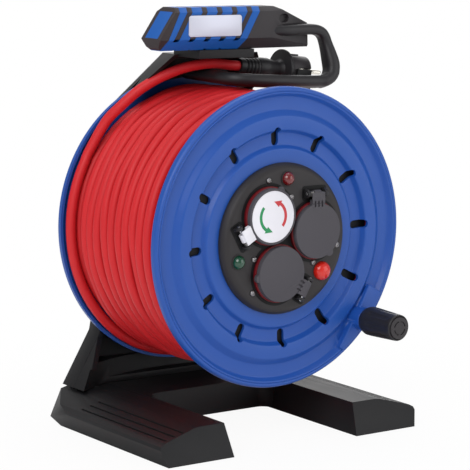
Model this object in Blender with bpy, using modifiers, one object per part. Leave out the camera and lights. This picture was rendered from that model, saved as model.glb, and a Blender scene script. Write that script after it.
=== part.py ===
"""Extension cord reel: a cantilevered cable drum with three lidded sockets on a moulded stand.

Metres, +Z up. The drum turns about Y, and its socket face looks along -Y. Sizes of the stand are
measured from the drum's middle plane (Y = 0) and from the floor, and an empty then centres the whole part.
"""

import math

import bmesh
import bpy
from mathutils import Matrix, Vector

# Clearances
SEAT_GAP = 0.0003
RUN_GAP = 0.0003
LID_GAP = 0.0004

# Drum
FLANGE_RADIUS = 0.145
DRUM_CLEARANCE = 0.021
DRUM_WIDTH = 0.172
FLANGE_WALL = 0.003
FLANGE_DISH = 0.0055
FLANGE_SIDES = 32
BARREL_WALL = 0.004
BARREL_SIDES = 24
HUB_RADIUS = 0.013
HUB_REACH = 0.020
SLOT_COUNT = 12
SLOT_LENGTH = 0.018
SLOT_WIDTH = 0.008
SLOT_RING_DEPTH = 0.047
SLOT_TURN = 3.5

# Cable
CABLE_RADIUS = 0.00505
TURN_PITCH = 0.0121
TURN_COUNT = 12
TURN_POINTS = 24
LAYER_DEPTH = 0.012
LAST_TURN_RISE = 0.0035
FRONT_LANE = 0.070
REAR_LANE = 0.0736
LEAD_START_ANGLE = 152
# Heights of both routes are measured from the top of the flanges.
LEAD_ROUTE = (
    (-0.0968, 0.0630, -0.0248),
    (-0.0880, 0.0480, -0.0108),
    (-0.0735, 0.0330, 0.0008),
    (-0.0520, 0.0220, 0.0105),
    (-0.0257, 0.0155, 0.0152),
)

# Socket plate
PLATE_RADIUS = 0.073
PLATE_RISE = 0.0092
PLATE_WALL = 0.003
PLATE_SIDES = 28
COLLAR_SPACING = 0.00116
SOCKET_MARGIN = 0.0025
SOCKET_TURN = 12
SOCKET_BODY_RADIUS = 0.0225
SOCKET_DEPTH = 0.040
SOCKET_RECESS_RADIUS = 0.0198
SOCKET_RECESS_DEPTH = 0.0175
COLLAR_RADIUS = 0.028
COLLAR_HEIGHT = 0.003
CONTACT_SPACING = 0.019
CONTACT_RADIUS = 0.0026
LID_RADIUS = 0.027
LID_THICKNESS = 0.0045
LID_LEAN = 0.0012
LID_SIDES = 24
LID_RING_WIDTH = 0.003
LID_RING_HEIGHT = 0.002
LID_TAB_TURN = 215
LID_TAB_RADIUS = 0.004
LID_ARM_HALF = 0.0076
HINGE_TURN = 78
HINGE_REACH = 0.036
HINGE_PIN_RADIUS = 0.0015
KNUCKLE_RADIUS = 0.0034
KNUCKLE_HALF = 0.004
EAR_INNER = 0.009
EAR_OUTER = 0.012
SPRING_WIRE = 0.00035
SPRING_COIL = 0.0025
SPRING_TURNS = 3
LAMP_RADIUS = 0.0065
LAMP_STEM = 0.0049
LAMP_DEPTH = 0.006
LAMP_RING = 0.0585
LAMP_ANGLES = {"lamp_red": 90, "lamp_green": 197}
BUTTON_RADIUS = 0.0092
BUTTON_RING = 0.055
BUTTON_ANGLE = -37.8
BUTTON_TRAVEL = 0.0025
BUTTON_SKIRT = 0.0008
BUTTON_STEM = 0.0025
CUTOUT_RADIUS = 0.0088
CUTOUT_LENGTH = 0.020
CUTOUT_POST_RADIUS = 0.003
SCREW_RADIUS = 0.0015
SCREW_HEAD_RADIUS = 0.0028
RIM_SCREW_RING = 0.062
RIM_SCREW_TURN = 111
INNER_SCREW_RING = 0.041
INNER_SCREW_TURN = 83

# Crank
PAD_TURN = -31
PAD_DEPTH = 0.0226
PAD_MARGIN = 0.004
PAD_LOW = -0.060
PAD_HIGH = 0.010
KNOB_ANGLE = -41.1
KNOB_INSET = 0.012
KNOB_RADIUS = 0.0142
KNOB_LENGTH = 0.049
CRANK_PIN_RADIUS = 0.004
CRANK_HEAD_RADIUS = 0.0065
CRANK_HEAD_HEIGHT = 0.0018
BOSS_RADIUS = 0.011
BOSS_HEIGHT = 0.010

# Axle
AXLE_RADIUS = 0.010
BUSH_LENGTH = 0.015
BUSH_COLLAR = 0.0022
WASHER_HEIGHT = 0.002
NUT_RADIUS = 0.0145
NUT_HEIGHT = 0.008

# Stand
REAR_FACE = 0.112
FRAME_DEPTH = 0.020
PANEL_WALL = 0.005
RIM_WALL = 0.006
FOOT_FRONT = -0.117
FOOT_OUTER = 0.148
FOOT_EDGE = 0.1529
FOOT_INNER = 0.0737
FOOT_INNER_TOP = 0.0774
FOOT_HEIGHT = 0.031
FOOT_EDGE_HEIGHT = 0.020
FOOT_FLAT = 0.108
FOOT_LEAN = 0.0128
REAR_CORNER_X = 0.136
REAR_CORNER_Y = 0.055
CROSS_FRONT = 0.031
CROSS_FILLET = 0.012
GROOVE_WIDTH = 0.0022
GROOVE_DEPTH = 0.0011
GROOVE_FIRST = 0.1235
GROOVE_PITCH = 0.0095
STEP_HEIGHT = 0.055
STEP_RADIUS = 0.231
STEP_MIDDLE = 0.107
FIN_FRONT = 0.076
FIN_HEIGHT = 0.080
LEG_FOOT = 0.122
LEG_KNEE = 0.091
LEG_KNEE_HEIGHT = 0.084
LEG_WAIST = 0.086
LEG_WAIST_HEIGHT = 0.110
SHOULDER = 0.084
SHOULDER_DROP = 0.050
FRAME_TOP = 0.078
FRAME_DROP = 0.043
HUB_BOSS_RADIUS = 0.030
HUB_BOSS_FACE = 0.088
RIB_HALF = 0.0022
FRAME_RIBS = {40: 0.118, 90: 0.099, 140: 0.118, 205: 0.090, 335: 0.090, 0: 0.084, 180: 0.084}
FRAME_SCREW_RADIUS = 0.0019
FRAME_SCREW_HEAD = 0.0038
BASE_SCREW_COVER = 0.008
BASE_SCREWS = ((-0.098, 0.088), (-0.085, 0.100), (0.085, 0.100), (0.098, 0.088))
HOOD_SCREWS = (-0.050, 0.050)

# Top hood
HOOD_FRONT = 0.025
HOOD_FRONT_HALF = 0.050
HOOD_RISE = 0.024
HOOD_REAR_FALL = 0.005
HOOD_CHEEK = (0.069, 0.041)
HOOD_CHEEK_RISE = 0.001
HOOD_REAR_HALF = 0.005
HOOD_WALL = 0.004
WEB_FRONT = 0.0685
WEB_WALL = 0.003
WEB_INSET = 0.0025
FLANGE_ROOM = 0.004
NECK_LEFT = -0.045
NECK_RIGHT = 0.020
NECK_FRONT = -0.010

# Handle
GRIP_HALF_DEPTH = 0.016
NECK_RISE = 0.0065
GRIP_HEIGHT = 0.0408
COVER_WALL = 0.003
BOW_HEIGHT = 0.011
BOW_DEPTH = 0.016
BOW_CORNER = 0.005
BOW_RUN_REAR = -0.0133
COVER_END_LOW = 0.0010
COVER_END_HIGH = 0.0240
NAME_PLATE_X = -0.031
NAME_PLATE_RISE = 0.0232
NAME_PLATE_HALF = (0.031, 0.0102)
NAME_PLATE_CORNER = 0.003
NAME_PLATE_DEPTH = 0.0010

# Plug
PLUG_Y = 0.012
PLUG_COLLAR_X = 0.070
PLUG_RISE = 0.007
PLUG_TILT = 5.5
PLUG_NECK_RADIUS = 0.0100
PLUG_NECK_LENGTH = 0.031
PLUG_BOOT_LENGTH = 0.022
PLUG_COLLAR_RADIUS = 0.020
PLUG_FACE_RADIUS = 0.0185
PLUG_FACE_FLAT = 0.0145
PLUG_FACE_CORNER = 0.0135
PLUG_FACE_START = 0.0018
PLUG_FACE_LENGTH = 0.022
PLUG_PIN_RADIUS = 0.0024
PLUG_PIN_LENGTH = 0.019
HOLDER_WALL = 0.003
HOLDER_GAP = 0.0005

SOCKET_RING = (2 * COLLAR_RADIUS + COLLAR_SPACING) / math.sqrt(3)
BARREL_RADIUS = SOCKET_RING + SOCKET_BODY_RADIUS + SOCKET_MARGIN + BARREL_WALL
AXLE_HEIGHT = FOOT_HEIGHT + DRUM_CLEARANCE + FLANGE_RADIUS
FLANGE_TOP = AXLE_HEIGHT + FLANGE_RADIUS
FLANGE_FACE = DRUM_WIDTH / 2
RING_FACE = FLANGE_FACE - 0.002
DISH_FACE = FLANGE_FACE - FLANGE_DISH
GROOVE_FACE = DISH_FACE - 0.001
BARREL_END = RING_FACE - FLANGE_WALL - SEAT_GAP
OUTER_LAYER_RADIUS = FLANGE_RADIUS - LAYER_DEPTH
LAST_TURN_RADIUS = OUTER_LAYER_RADIUS + LAST_TURN_RISE
CORE_RADIUS = OUTER_LAYER_RADIUS * math.cos(math.pi / TURN_POINTS) - CABLE_RADIUS - 0.0004
PLATE_FACE = RING_FACE + SEAT_GAP + PLATE_RISE
COLLAR_FACE = PLATE_FACE + SEAT_GAP + COLLAR_HEIGHT
LID_BACK = COLLAR_FACE + LID_GAP
LID_FACE = LID_BACK + LID_THICKNESS
HINGE_HEIGHT = PLATE_FACE + KNUCKLE_RADIUS + 0.0006
CUTOUT_FACE = PLATE_FACE - 0.0135
FRAME_FRONT = REAR_FACE - FRAME_DEPTH
FRAME_HEIGHT = FLANGE_TOP - FRAME_DROP
SHOULDER_HEIGHT = FLANGE_TOP - SHOULDER_DROP
HOOD_HEIGHT = FLANGE_TOP + HOOD_RISE
HOOD_REAR_HEIGHT = HOOD_HEIGHT - HOOD_REAR_FALL
WEB_RADIUS = FLANGE_RADIUS - WEB_INSET
DRUM_ROOM = FLANGE_RADIUS + FLANGE_ROOM
GRIP_BOTTOM = HOOD_HEIGHT + NECK_RISE
GRIP_TOP = GRIP_BOTTOM + GRIP_HEIGHT
GRIP_SPAN = (GRIP_BOTTOM - 0.05, GRIP_TOP + 0.05)
PLUG_COLLAR_Z = FLANGE_TOP + PLUG_RISE
KNOB_RING = FLANGE_RADIUS - KNOB_INSET
BASE_SCREW_SEAT = FOOT_HEIGHT - BASE_SCREW_COVER
KNOB_BASE = FLANGE_FACE + BOSS_HEIGHT + RUN_GAP * 2
KNOB_TIP = KNOB_BASE + KNOB_LENGTH
CRANK_HEAD = KNOB_TIP - 0.0055

BOW_ROUTE = (
    (0.0220, -0.0020, 0.0465),
    (0.0320, -0.0040, 0.0470),
    (0.0450, -0.0090, 0.0476),
    (0.0580, -0.0120, 0.0478),
    (0.0860, -0.0122, 0.0479),
    (0.0970, -0.0124, 0.0458),
    (0.1025, -0.0128, 0.0410),
    (0.1052, -0.0140, 0.0330),
    (0.1072, -0.0165, 0.0230),
    (0.1085, -0.0195, 0.0115),
    (0.1065, -0.0212, 0.0035),
    (0.1005, -0.0220, -0.0018),
    (0.0900, -0.0220, -0.0035),
    (0.0600, -0.0215, -0.0023),
    (0.0300, -0.0200, -0.0010),
    (0.0080, -0.0165, 0.0003),
    (-0.0035, -0.0095, 0.0011),
    (-0.0078, 0.0020, 0.0017),
    (-0.0080, 0.0160, 0.0020),
    (-0.0080, WEB_FRONT - SEAT_GAP - 0.010, 0.0025),
    (-0.0080, WEB_FRONT - SEAT_GAP, 0.0025),
)

for leftover in list(bpy.data.objects):
    bpy.data.objects.remove(leftover)

parts = bpy.data.collections.new("extension_cord_reel")
cutters = bpy.data.collections.new("cutters")
bpy.context.scene.collection.children.link(parts)
bpy.context.scene.collection.children.link(cutters)


def finish(name, colour, roughness, metallic=0.0):
    material = bpy.data.materials.new(name)
    material.use_nodes = True
    shader = material.node_tree.nodes["Principled BSDF"]
    shader.inputs["Base Color"].default_value = (*colour, 1.0)
    shader.inputs["Roughness"].default_value = roughness
    shader.inputs["Metallic"].default_value = metallic
    return material


BLACK = finish("black_plastic", (0.018, 0.018, 0.020), 0.55)
GREY = finish("dark_grey_plastic", (0.075, 0.070, 0.078), 0.5)
BLUE = finish("blue_plastic", (0.045, 0.115, 0.48), 0.4)
SOFT_BLUE = finish("soft_blue_rubber", (0.02, 0.11, 0.45), 0.6)
WHITE = finish("white_plastic", (0.85, 0.85, 0.88), 0.4)
RED = finish("red_cable", (0.70, 0.025, 0.03), 0.45)
SIGNAL_RED = finish("signal_red", (0.75, 0.02, 0.01), 0.25)
DARK_RED = finish("dark_red_seal", (0.16, 0.01, 0.01), 0.5)
RED_LENS = finish("red_lens", (0.30, 0.02, 0.015), 0.2)
GREEN = finish("green_lens", (0.0, 0.10, 0.04), 0.2)
STEEL = finish("steel", (0.62, 0.62, 0.64), 0.3, 1.0)
BRASS = finish("nickel_brass", (0.75, 0.68, 0.5), 0.3, 1.0)


def empty(name, parent, location=(0, 0, 0), rotation=(0, 0, 0)):
    frame = bpy.data.objects.new(name, None)
    frame.parent = parent
    frame.location = location
    frame.rotation_euler = rotation
    parts.objects.link(frame)
    return frame


def place(name, data, parent, material=None):
    """Links a new object. One with no material is a cutter or a tool, and isn't rendered."""
    piece = bpy.data.objects.new(name, data)
    piece.parent = parent
    if material is None:
        cutters.objects.link(piece)
        piece.hide_render = True
        piece.display_type = "WIRE"
    else:
        parts.objects.link(piece)
        data.materials.append(material)
    return piece


def combine(piece, tool, operation="DIFFERENCE"):
    boolean = piece.modifiers.new(tool.name, "BOOLEAN")
    boolean.object = tool
    boolean.operation = operation
    boolean.solver = "EXACT"


def mesh_from(name, bm):
    mesh = bpy.data.meshes.new(name)
    bm.to_mesh(mesh)
    bm.free()
    return mesh


def box(name, low, high):
    low, high = Vector(low), Vector(high)
    bm = bmesh.new()
    bmesh.ops.create_cube(bm, size=1.0)
    bmesh.ops.scale(bm, vec=high - low, verts=bm.verts)
    bmesh.ops.translate(bm, vec=(high + low) / 2, verts=bm.verts)
    return mesh_from(name, bm)


def rod(name, radius, low, high, sides=20, centre=(0, 0), end_radius=None):
    """A round bar along Z from low to high."""
    bm = bmesh.new()
    bmesh.ops.create_cone(
        bm,
        cap_ends=True,
        segments=sides,
        radius1=radius,
        radius2=radius if end_radius is None else end_radius,
        depth=high - low,
    )
    bmesh.ops.translate(bm, vec=(*centre, (high + low) / 2), verts=bm.verts)
    return mesh_from(name, bm)


def hull(name, points):
    bm = bmesh.new()
    for point in points:
        bm.verts.new(point)
    made = bmesh.ops.convex_hull(bm, input=bm.verts)
    spare = [g for g in made["geom_interior"] if isinstance(g, bmesh.types.BMVert)]
    bmesh.ops.delete(bm, geom=spare, context="VERTS")
    bmesh.ops.recalc_face_normals(bm, faces=bm.faces)
    return mesh_from(name, bm)


def as_mesh(curve_object):
    """The curve's evaluated shape as a welded mesh. The curve itself is removed."""
    bpy.context.view_layer.update()
    graph = bpy.context.evaluated_depsgraph_get()
    mesh = bpy.data.meshes.new_from_object(curve_object.evaluated_get(graph))
    bm = bmesh.new()
    bm.from_mesh(mesh)
    bmesh.ops.remove_doubles(bm, verts=bm.verts, dist=1e-6)
    bmesh.ops.recalc_face_normals(bm, faces=bm.faces)
    bm.to_mesh(mesh)
    bm.free()
    bpy.data.objects.remove(curve_object)
    return mesh


TURNS = {
    "XY": Matrix.Identity(4),
    "XZ": Matrix.Rotation(math.pi / 2, 4, "X"),
    "YZ": Matrix(((0, 0, 1, 0), (1, 0, 0, 0), (0, 1, 0, 0), (0, 0, 0, 1))),
}


def slab(name, outlines, low, high, plane="XY"):
    """Flat outlines (the first is the outer one) extruded square to their plane, from low to high."""
    curve = bpy.data.curves.new(name, "CURVE")
    curve.dimensions = "2D"
    curve.fill_mode = "BOTH"
    curve.extrude = (high - low) / 2
    for outline in outlines:
        spline = curve.splines.new("POLY")
        spline.points.add(len(outline) - 1)
        for point, (a, b) in zip(spline.points, outline):
            point.co = (a, b, 0, 1)
        spline.use_cyclic_u = True
    holder = bpy.data.objects.new(name, curve)
    bpy.context.scene.collection.objects.link(holder)
    mesh = as_mesh(holder)
    middle = (low + high) / 2
    shift = -middle if plane == "XZ" else middle
    mesh.transform(TURNS[plane] @ Matrix.Translation((0, 0, shift)))
    return mesh


def turned(name, profile, parent, material=None, sides=28, wall=None):
    """Revolves (radius, height) points about Z. With a wall, they are an open skin thickened inwards."""
    closed = wall is None and min(r for r, h in profile) > 1e-6
    if closed:
        area = sum(
            a[0] * b[1] - b[0] * a[1] for a, b in zip(profile, profile[1:] + profile[:1])
        )
        profile = profile if area < 0 else profile[::-1]
    mesh = bpy.data.meshes.new(name)
    count = len(profile)
    edges = [(i, i + 1) for i in range(count - 1)] + ([(count - 1, 0)] if closed else [])
    mesh.from_pydata([(r, 0, h) for r, h in profile], edges, [])
    piece = place(name, mesh, parent, material)
    screw = piece.modifiers.new("turn", "SCREW")
    screw.axis = "Z"
    screw.steps = sides
    screw.render_steps = sides
    screw.use_merge_vertices = True
    screw.merge_threshold = 1e-5
    if wall is not None:
        skin = piece.modifiers.new("wall", "SOLIDIFY")
        skin.thickness = wall
        skin.offset = -1
        skin.use_even_offset = True
    return piece


def polar(radius, degrees):
    return radius * math.cos(math.radians(degrees)), radius * math.sin(math.radians(degrees))


def arc(centre, radius, start, end, steps):
    """Points on an arc, angles in degrees."""
    points = []
    for i in range(steps + 1):
        x, y = polar(radius, start + (end - start) * i / steps)
        points.append((centre[0] + x, centre[1] + y))
    return points


def obround(length, width, steps=4):
    """A slot outline centred on the origin, long along X."""
    reach = (length - width) / 2
    right = arc((reach, 0), width / 2, -90, 90, steps)
    left = arc((-reach, 0), width / 2, 90, 270, steps)
    return right + left


def rounded_box(half_a, half_b, radius, steps=3):
    corners = ((1, 1, 0), (-1, 1, 90), (-1, -1, 180), (1, -1, 270))
    outline = []
    for a, b, start in corners:
        centre = (a * (half_a - radius), b * (half_b - radius))
        outline += arc(centre, radius, start, start + 90, steps)
    return outline


def mirrored(half):
    """A closed outline from its right half, listed from bottom to top."""
    return half + [(-a, b) for a, b in reversed(half)]


def smooth_route(points, spacing):
    """Points read at even steps from a Catmull-Rom curve through the route's own points."""
    knots = [Vector(p) for p in points]
    knots = [2 * knots[0] - knots[1]] + knots + [2 * knots[-1] - knots[-2]]
    fine = []
    for a, b, c, d in zip(knots, knots[1:], knots[2:], knots[3:]):
        for i in range(24):
            t = i / 24
            square, cube = 2 * a - 5 * b + 4 * c - d, 3 * b - a - 3 * c + d
            fine.append((2 * b + (c - a) * t + square * t**2 + cube * t**3) / 2)
    fine.append(knots[-2])
    length = sum((b - a).length for a, b in zip(fine, fine[1:]))
    steps = max(2, round(length / spacing))
    route, walked, target = [fine[0]], 0.0, length / steps
    for a, b in zip(fine, fine[1:]):
        stride = (b - a).length
        while walked + stride >= target - 1e-9 and len(route) < steps:
            route.append(a.lerp(b, (target - walked) / stride))
            target += length / steps
        walked += stride
    route.append(fine[-1])
    return route


def tube(name, points, radius, parent, material, resolution=2, section=None, scales=None):
    """A bevelled curve through points, with filled caps."""
    curve = bpy.data.curves.new(name, "CURVE")
    curve.dimensions = "3D"
    curve.use_fill_caps = True
    if section is None:
        curve.bevel_depth = radius
        curve.bevel_resolution = resolution
    else:
        curve.bevel_mode = "OBJECT"
        curve.bevel_object = section
    spline = curve.splines.new("POLY")
    spline.points.add(len(points) - 1)
    for i, (point, place_at) in enumerate(zip(spline.points, points)):
        point.co = (*place_at, 1)
        if scales is not None:
            point.radius = scales[i]
    return place(name, curve, parent, material)


def screw_at(name, frame, x, y, seat, depth, head=SCREW_HEAD_RADIUS, shank=SCREW_RADIUS):
    """A pan-head screw along the frame's Z, its head standing on seat."""
    height = head * 0.7
    profile = [
        (0, seat + SEAT_GAP + height),
        (head * 0.8, seat + SEAT_GAP + height * 0.8),
        (head, seat + SEAT_GAP),
        (shank, seat + SEAT_GAP),
        (shank, seat - depth),
        (0, seat - depth),
    ]
    screw = turned(name, profile, frame, STEEL, sides=6)
    screw.location = (x, y, 0)
    return screw


def bore_at(piece, frame, x, y, radius, low, high, sides=8):
    combine(piece, place(f"bore_of_{piece.name}", rod("bore", radius, low, high, sides, (x, y)), frame))


reel = empty("reel", None, (0, (KNOB_TIP - REAR_FACE - NUT_HEIGHT) / 2, 0))
# In the drum's own frame X points right, Y up and Z out of the socket face.
drum = empty("drum_axis", reel, (0, 0, AXLE_HEIGHT), (math.pi / 2, 0, 0))


def front_profile():
    """The front flange's outer skin from its hole to its rim."""
    return [
        (BARREL_RADIUS - BARREL_WALL, RING_FACE),
        (FLANGE_RADIUS - 0.059, RING_FACE),
        (FLANGE_RADIUS - 0.056, GROOVE_FACE),
        (FLANGE_RADIUS - 0.044, GROOVE_FACE),
        (FLANGE_RADIUS - 0.041, FLANGE_FACE - 0.0005),
        (FLANGE_RADIUS - 0.028, FLANGE_FACE - 0.0005),
        (FLANGE_RADIUS - 0.022, DISH_FACE),
        (FLANGE_RADIUS - 0.0090, DISH_FACE),
        (FLANGE_RADIUS - 0.0060, FLANGE_FACE),
        (FLANGE_RADIUS - 0.0015, FLANGE_FACE),
        (FLANGE_RADIUS, FLANGE_FACE - 0.0070),
    ]


def rear_profile():
    """The rear flange's outer skin, without the front's rings."""
    return [
        (HUB_RADIUS + 0.011, RING_FACE),
        (0.070, RING_FACE),
        (0.078, FLANGE_FACE),
        (FLANGE_RADIUS - 0.0015, FLANGE_FACE),
        (FLANGE_RADIUS, FLANGE_FACE - 0.0070),
    ]


def slot_cutter(name, frame):
    """All the radial slots of one flange in one tool."""
    bm = bmesh.new()
    for i in range(SLOT_COUNT):
        degrees = SLOT_TURN + i * 360 / SLOT_COUNT
        slot = slab("slot", [obround(SLOT_LENGTH, SLOT_WIDTH, 2)], 0.070, 0.100)
        turn = Matrix.Rotation(math.radians(degrees), 4, "Z")
        slot.transform(turn @ Matrix.Translation((FLANGE_RADIUS - SLOT_RING_DEPTH, 0, 0)))
        bm.from_mesh(slot)
    return place(name, mesh_from(name, bm), frame)


def make_flanges():
    front = turned("front_flange", front_profile(), drum, BLUE, FLANGE_SIDES, FLANGE_WALL)
    pad_frame = empty("pad_frame", drum, rotation=(0, 0, math.radians(PAD_TURN)))
    pad_floor = DISH_FACE - FLANGE_WALL + 0.0001
    pad_corner = (FLANGE_RADIUS, PAD_HIGH, FLANGE_FACE + 0.001)
    pad = place(
        "crank_pad",
        box("pad", (FLANGE_RADIUS - PAD_DEPTH, PAD_LOW, pad_floor), pad_corner),
        pad_frame,
    )
    edge = rod("edge", FLANGE_RADIUS - PAD_MARGIN, 0, 0.2, FLANGE_SIDES)
    combine(pad, place("pad_edge", edge, drum), "INTERSECT")
    combine(front, pad, "UNION")
    x, y = polar(KNOB_RING, KNOB_ANGLE)
    top = FLANGE_FACE + BOSS_HEIGHT
    boss = rod("boss", BOSS_RADIUS + 0.001, pad_floor + 0.001, top, 24, (x, y), BOSS_RADIUS)
    combine(front, place("crank_boss", boss, drum), "UNION")
    bore_at(front, drum, x, y, CRANK_PIN_RADIUS + SEAT_GAP, pad_floor + 0.003, KNOB_TIP, 16)
    combine(front, slot_cutter("front_slots", drum))
    for i in range(3):
        sx, sy = polar(RIM_SCREW_RING, RIM_SCREW_TURN + 120 * i)
        bore_at(front, drum, sx, sy, SCREW_RADIUS + SEAT_GAP, BARREL_END + 0.0001, 0.2)

    back = empty("back_side", drum, rotation=(math.pi, 0, 0))
    rear = turned("rear_flange", rear_profile(), back, BLUE, FLANGE_SIDES, FLANGE_WALL)
    combine(rear, slot_cutter("rear_slots", back))


def make_barrel():
    inside = BARREL_RADIUS - BARREL_WALL
    front_end = DISH_FACE - FLANGE_WALL - SEAT_GAP - 0.001
    hub = HUB_RADIUS + BARREL_WALL
    profile = [
        (HUB_RADIUS, -BARREL_END),
        (HUB_RADIUS, HUB_REACH),
        (hub, HUB_REACH),
        (hub, -BARREL_END + BARREL_WALL),
        (inside, -BARREL_END + BARREL_WALL),
        (inside, BARREL_END),
        (BARREL_RADIUS, BARREL_END),
        (BARREL_RADIUS, -BARREL_END),
    ]
    turned("drum_barrel", profile, drum, BLACK, BARREL_SIDES)
    for name, face, way in (("front_bush", HUB_REACH, 1), ("rear_bush", -BARREL_END, -1)):
        bush = [
            (AXLE_RADIUS + RUN_GAP, face - way * BUSH_LENGTH),
            (AXLE_RADIUS + RUN_GAP, face + way * BUSH_COLLAR),
            (hub, face + way * BUSH_COLLAR),
            (hub, face + way * SEAT_GAP),
            (HUB_RADIUS - SEAT_GAP, face + way * SEAT_GAP),
            (HUB_RADIUS - SEAT_GAP, face - way * BUSH_LENGTH),
        ]
        turned(name, bush, drum, WHITE, 16)
    inner = BARREL_RADIUS + SEAT_GAP
    rear_end = BARREL_END - SEAT_GAP
    core = [(inner, -rear_end), (inner, front_end), (CORE_RADIUS, front_end), (CORE_RADIUS, -rear_end)]
    turned("cable_inner_layers", core, drum, RED, BARREL_SIDES)


def make_axle():
    washer_low = HUB_REACH + BUSH_COLLAR + RUN_GAP
    nut_low = washer_low + WASHER_HEIGHT + SEAT_GAP
    thin = NUT_HEIGHT * 0.7
    shaft = AXLE_RADIUS - SEAT_GAP
    profile = [
        (0, nut_low + NUT_HEIGHT + 0.002),
        (shaft, nut_low + NUT_HEIGHT + 0.002),
        (shaft, -REAR_FACE - NUT_HEIGHT),
        (0, -REAR_FACE - NUT_HEIGHT),
    ]
    turned("axle", profile, drum, STEEL, 20)
    spacer_top = -BARREL_END - BUSH_COLLAR - RUN_GAP
    rings = (
        ("front_washer", washer_low, washer_low + WASHER_HEIGHT),
        ("rear_spacer", -HUB_BOSS_FACE + SEAT_GAP, spacer_top),
    )
    for name, low, high in rings:
        outer = HUB_RADIUS + BARREL_WALL
        ring = [(AXLE_RADIUS, low), (AXLE_RADIUS, high), (outer, high), (outer, low)]
        turned(name, ring, drum, STEEL, 16)
    rear_nut = -REAR_FACE - SEAT_GAP - thin
    for name, low, height in (("axle_nut_front", nut_low, NUT_HEIGHT), ("axle_nut_rear", rear_nut, thin)):
        nut = place(name, rod(name, NUT_RADIUS, low, low + height, 6), drum, STEEL)
        bore_at(nut, drum, 0, 0, AXLE_RADIUS, low - 0.01, low + 0.02, 16)


def hinge_frame(index):
    """The lid's hinge: X along its pin, Y towards the lid's centre, Z outwards."""
    lid = SOCKET_TURN + 120 * index
    out = lid + HINGE_TURN
    cx, cy = polar(SOCKET_RING, lid)
    hx, hy = polar(HINGE_REACH, out)
    place_at = (cx + hx, cy + hy, HINGE_HEIGHT)
    return empty(f"lid_hinge_{index + 1}", drum, place_at, (0, 0, math.radians(out + 90)))


def make_socket(index, centre):
    body_floor = PLATE_FACE - SOCKET_DEPTH
    flange_low = PLATE_FACE + SEAT_GAP
    profile = [
        (0, body_floor),
        (SOCKET_BODY_RADIUS, body_floor),
        (SOCKET_BODY_RADIUS, flange_low),
        (COLLAR_RADIUS, flange_low),
        (COLLAR_RADIUS, COLLAR_FACE - 0.0008),
        (COLLAR_RADIUS - 0.0008, COLLAR_FACE),
        (SOCKET_RECESS_RADIUS, COLLAR_FACE),
        (SOCKET_RECESS_RADIUS, COLLAR_FACE - SOCKET_RECESS_DEPTH),
        (0, COLLAR_FACE - SOCKET_RECESS_DEPTH),
    ]
    socket = turned(f"socket_{index + 1}", profile[::-1], drum, DARK_RED, 20)
    socket.location = (*centre, 0)
    for side in (-1, 1):
        turn = SOCKET_TURN + 120 * index + HINGE_TURN
        dx, dy = polar(side * CONTACT_SPACING / 2, turn + 90)
        at = (centre[0] + dx, centre[1] + dy)
        contact = rod("contact", CONTACT_RADIUS, body_floor + 0.004, PLATE_FACE, 8, at)
        combine(socket, place(f"contact_{index}_{side}", contact, drum))


def along_x(mesh):
    mesh.transform(Matrix.Rotation(math.pi / 2, 4, "Y"))
    return mesh


def make_lids():
    for index, name in enumerate(("lid_right", "lid_white", "lid_lower")):
        frame = hinge_frame(index)
        back = LID_BACK - HINGE_HEIGHT
        face = LID_FACE - HINGE_HEIGHT
        middle = (0, HINGE_REACH)
        top = face
        if name == "lid_white":
            top = face - LID_RING_HEIGHT - SEAT_GAP
        disc = rod(name, LID_RADIUS, back, top, LID_SIDES, middle, LID_RADIUS - LID_LEAN)
        lid = place(name, disc, frame, WHITE if name == "lid_white" else GREY)
        edge = HINGE_REACH - LID_RADIUS
        half = LID_ARM_HALF
        arm = box("arm", (-half, KNUCKLE_RADIUS + 0.002, back), (half, edge - 0.0005, face - 0.0008))
        combine(lid, place(f"arm_of_{name}", arm, frame), "UNION")
        neck = box("neck", (-KNUCKLE_HALF, 0, back), (KNUCKLE_HALF, edge + 0.006, top - 0.0006))
        root = box("root", (-half, edge - 0.002, back), (half, edge + 0.006, top - 0.0004))
        combine(lid, place(f"root_of_{name}", root, frame), "UNION")
        combine(lid, place(f"neck_of_{name}", neck, frame), "UNION")
        knuckle = along_x(rod("knuckle", KNUCKLE_RADIUS, -KNUCKLE_HALF, KNUCKLE_HALF, 12))
        combine(lid, place(f"knuckle_of_{name}", knuckle, frame), "UNION")
        tx, ty = polar(LID_RADIUS - 0.001, LID_TAB_TURN - 90)
        tab = rod("tab", LID_TAB_RADIUS, back, top - 0.0004, 12, (tx, ty + HINGE_REACH))
        combine(lid, place(f"tab_of_{name}", tab, frame), "UNION")
        pin_bore = along_x(rod("pin_bore", HINGE_PIN_RADIUS + RUN_GAP, -0.02, 0.02, 8))
        combine(lid, place(f"pin_bore_of_{name}", pin_bore, frame))
        if name == "lid_white":
            hold = LID_RADIUS - LID_RING_WIDTH
            boss = rod("boss", hold - SEAT_GAP, top - 0.001, face, LID_SIDES, middle)
            combine(lid, place("face_of_lid_white", boss, frame), "UNION")
            ring_low = top + SEAT_GAP
            ring = [
                (hold, ring_low),
                (hold, face + 0.0002),
                (LID_RADIUS - 0.0008, face + 0.0002),
                (LID_RADIUS, face - 0.0006),
                (LID_RADIUS, ring_low),
            ]
            bezel = turned("lid_bezel", ring, frame, GREY, LID_SIDES)
            bezel.location = (*middle, 0)
        pin = along_x(rod("pin", HINGE_PIN_RADIUS - 0.0001, -EAR_OUTER, EAR_OUTER, 8))
        place(f"hinge_pin_{index + 1}", pin, frame, STEEL)
        make_lid_spring(index, frame)


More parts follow.
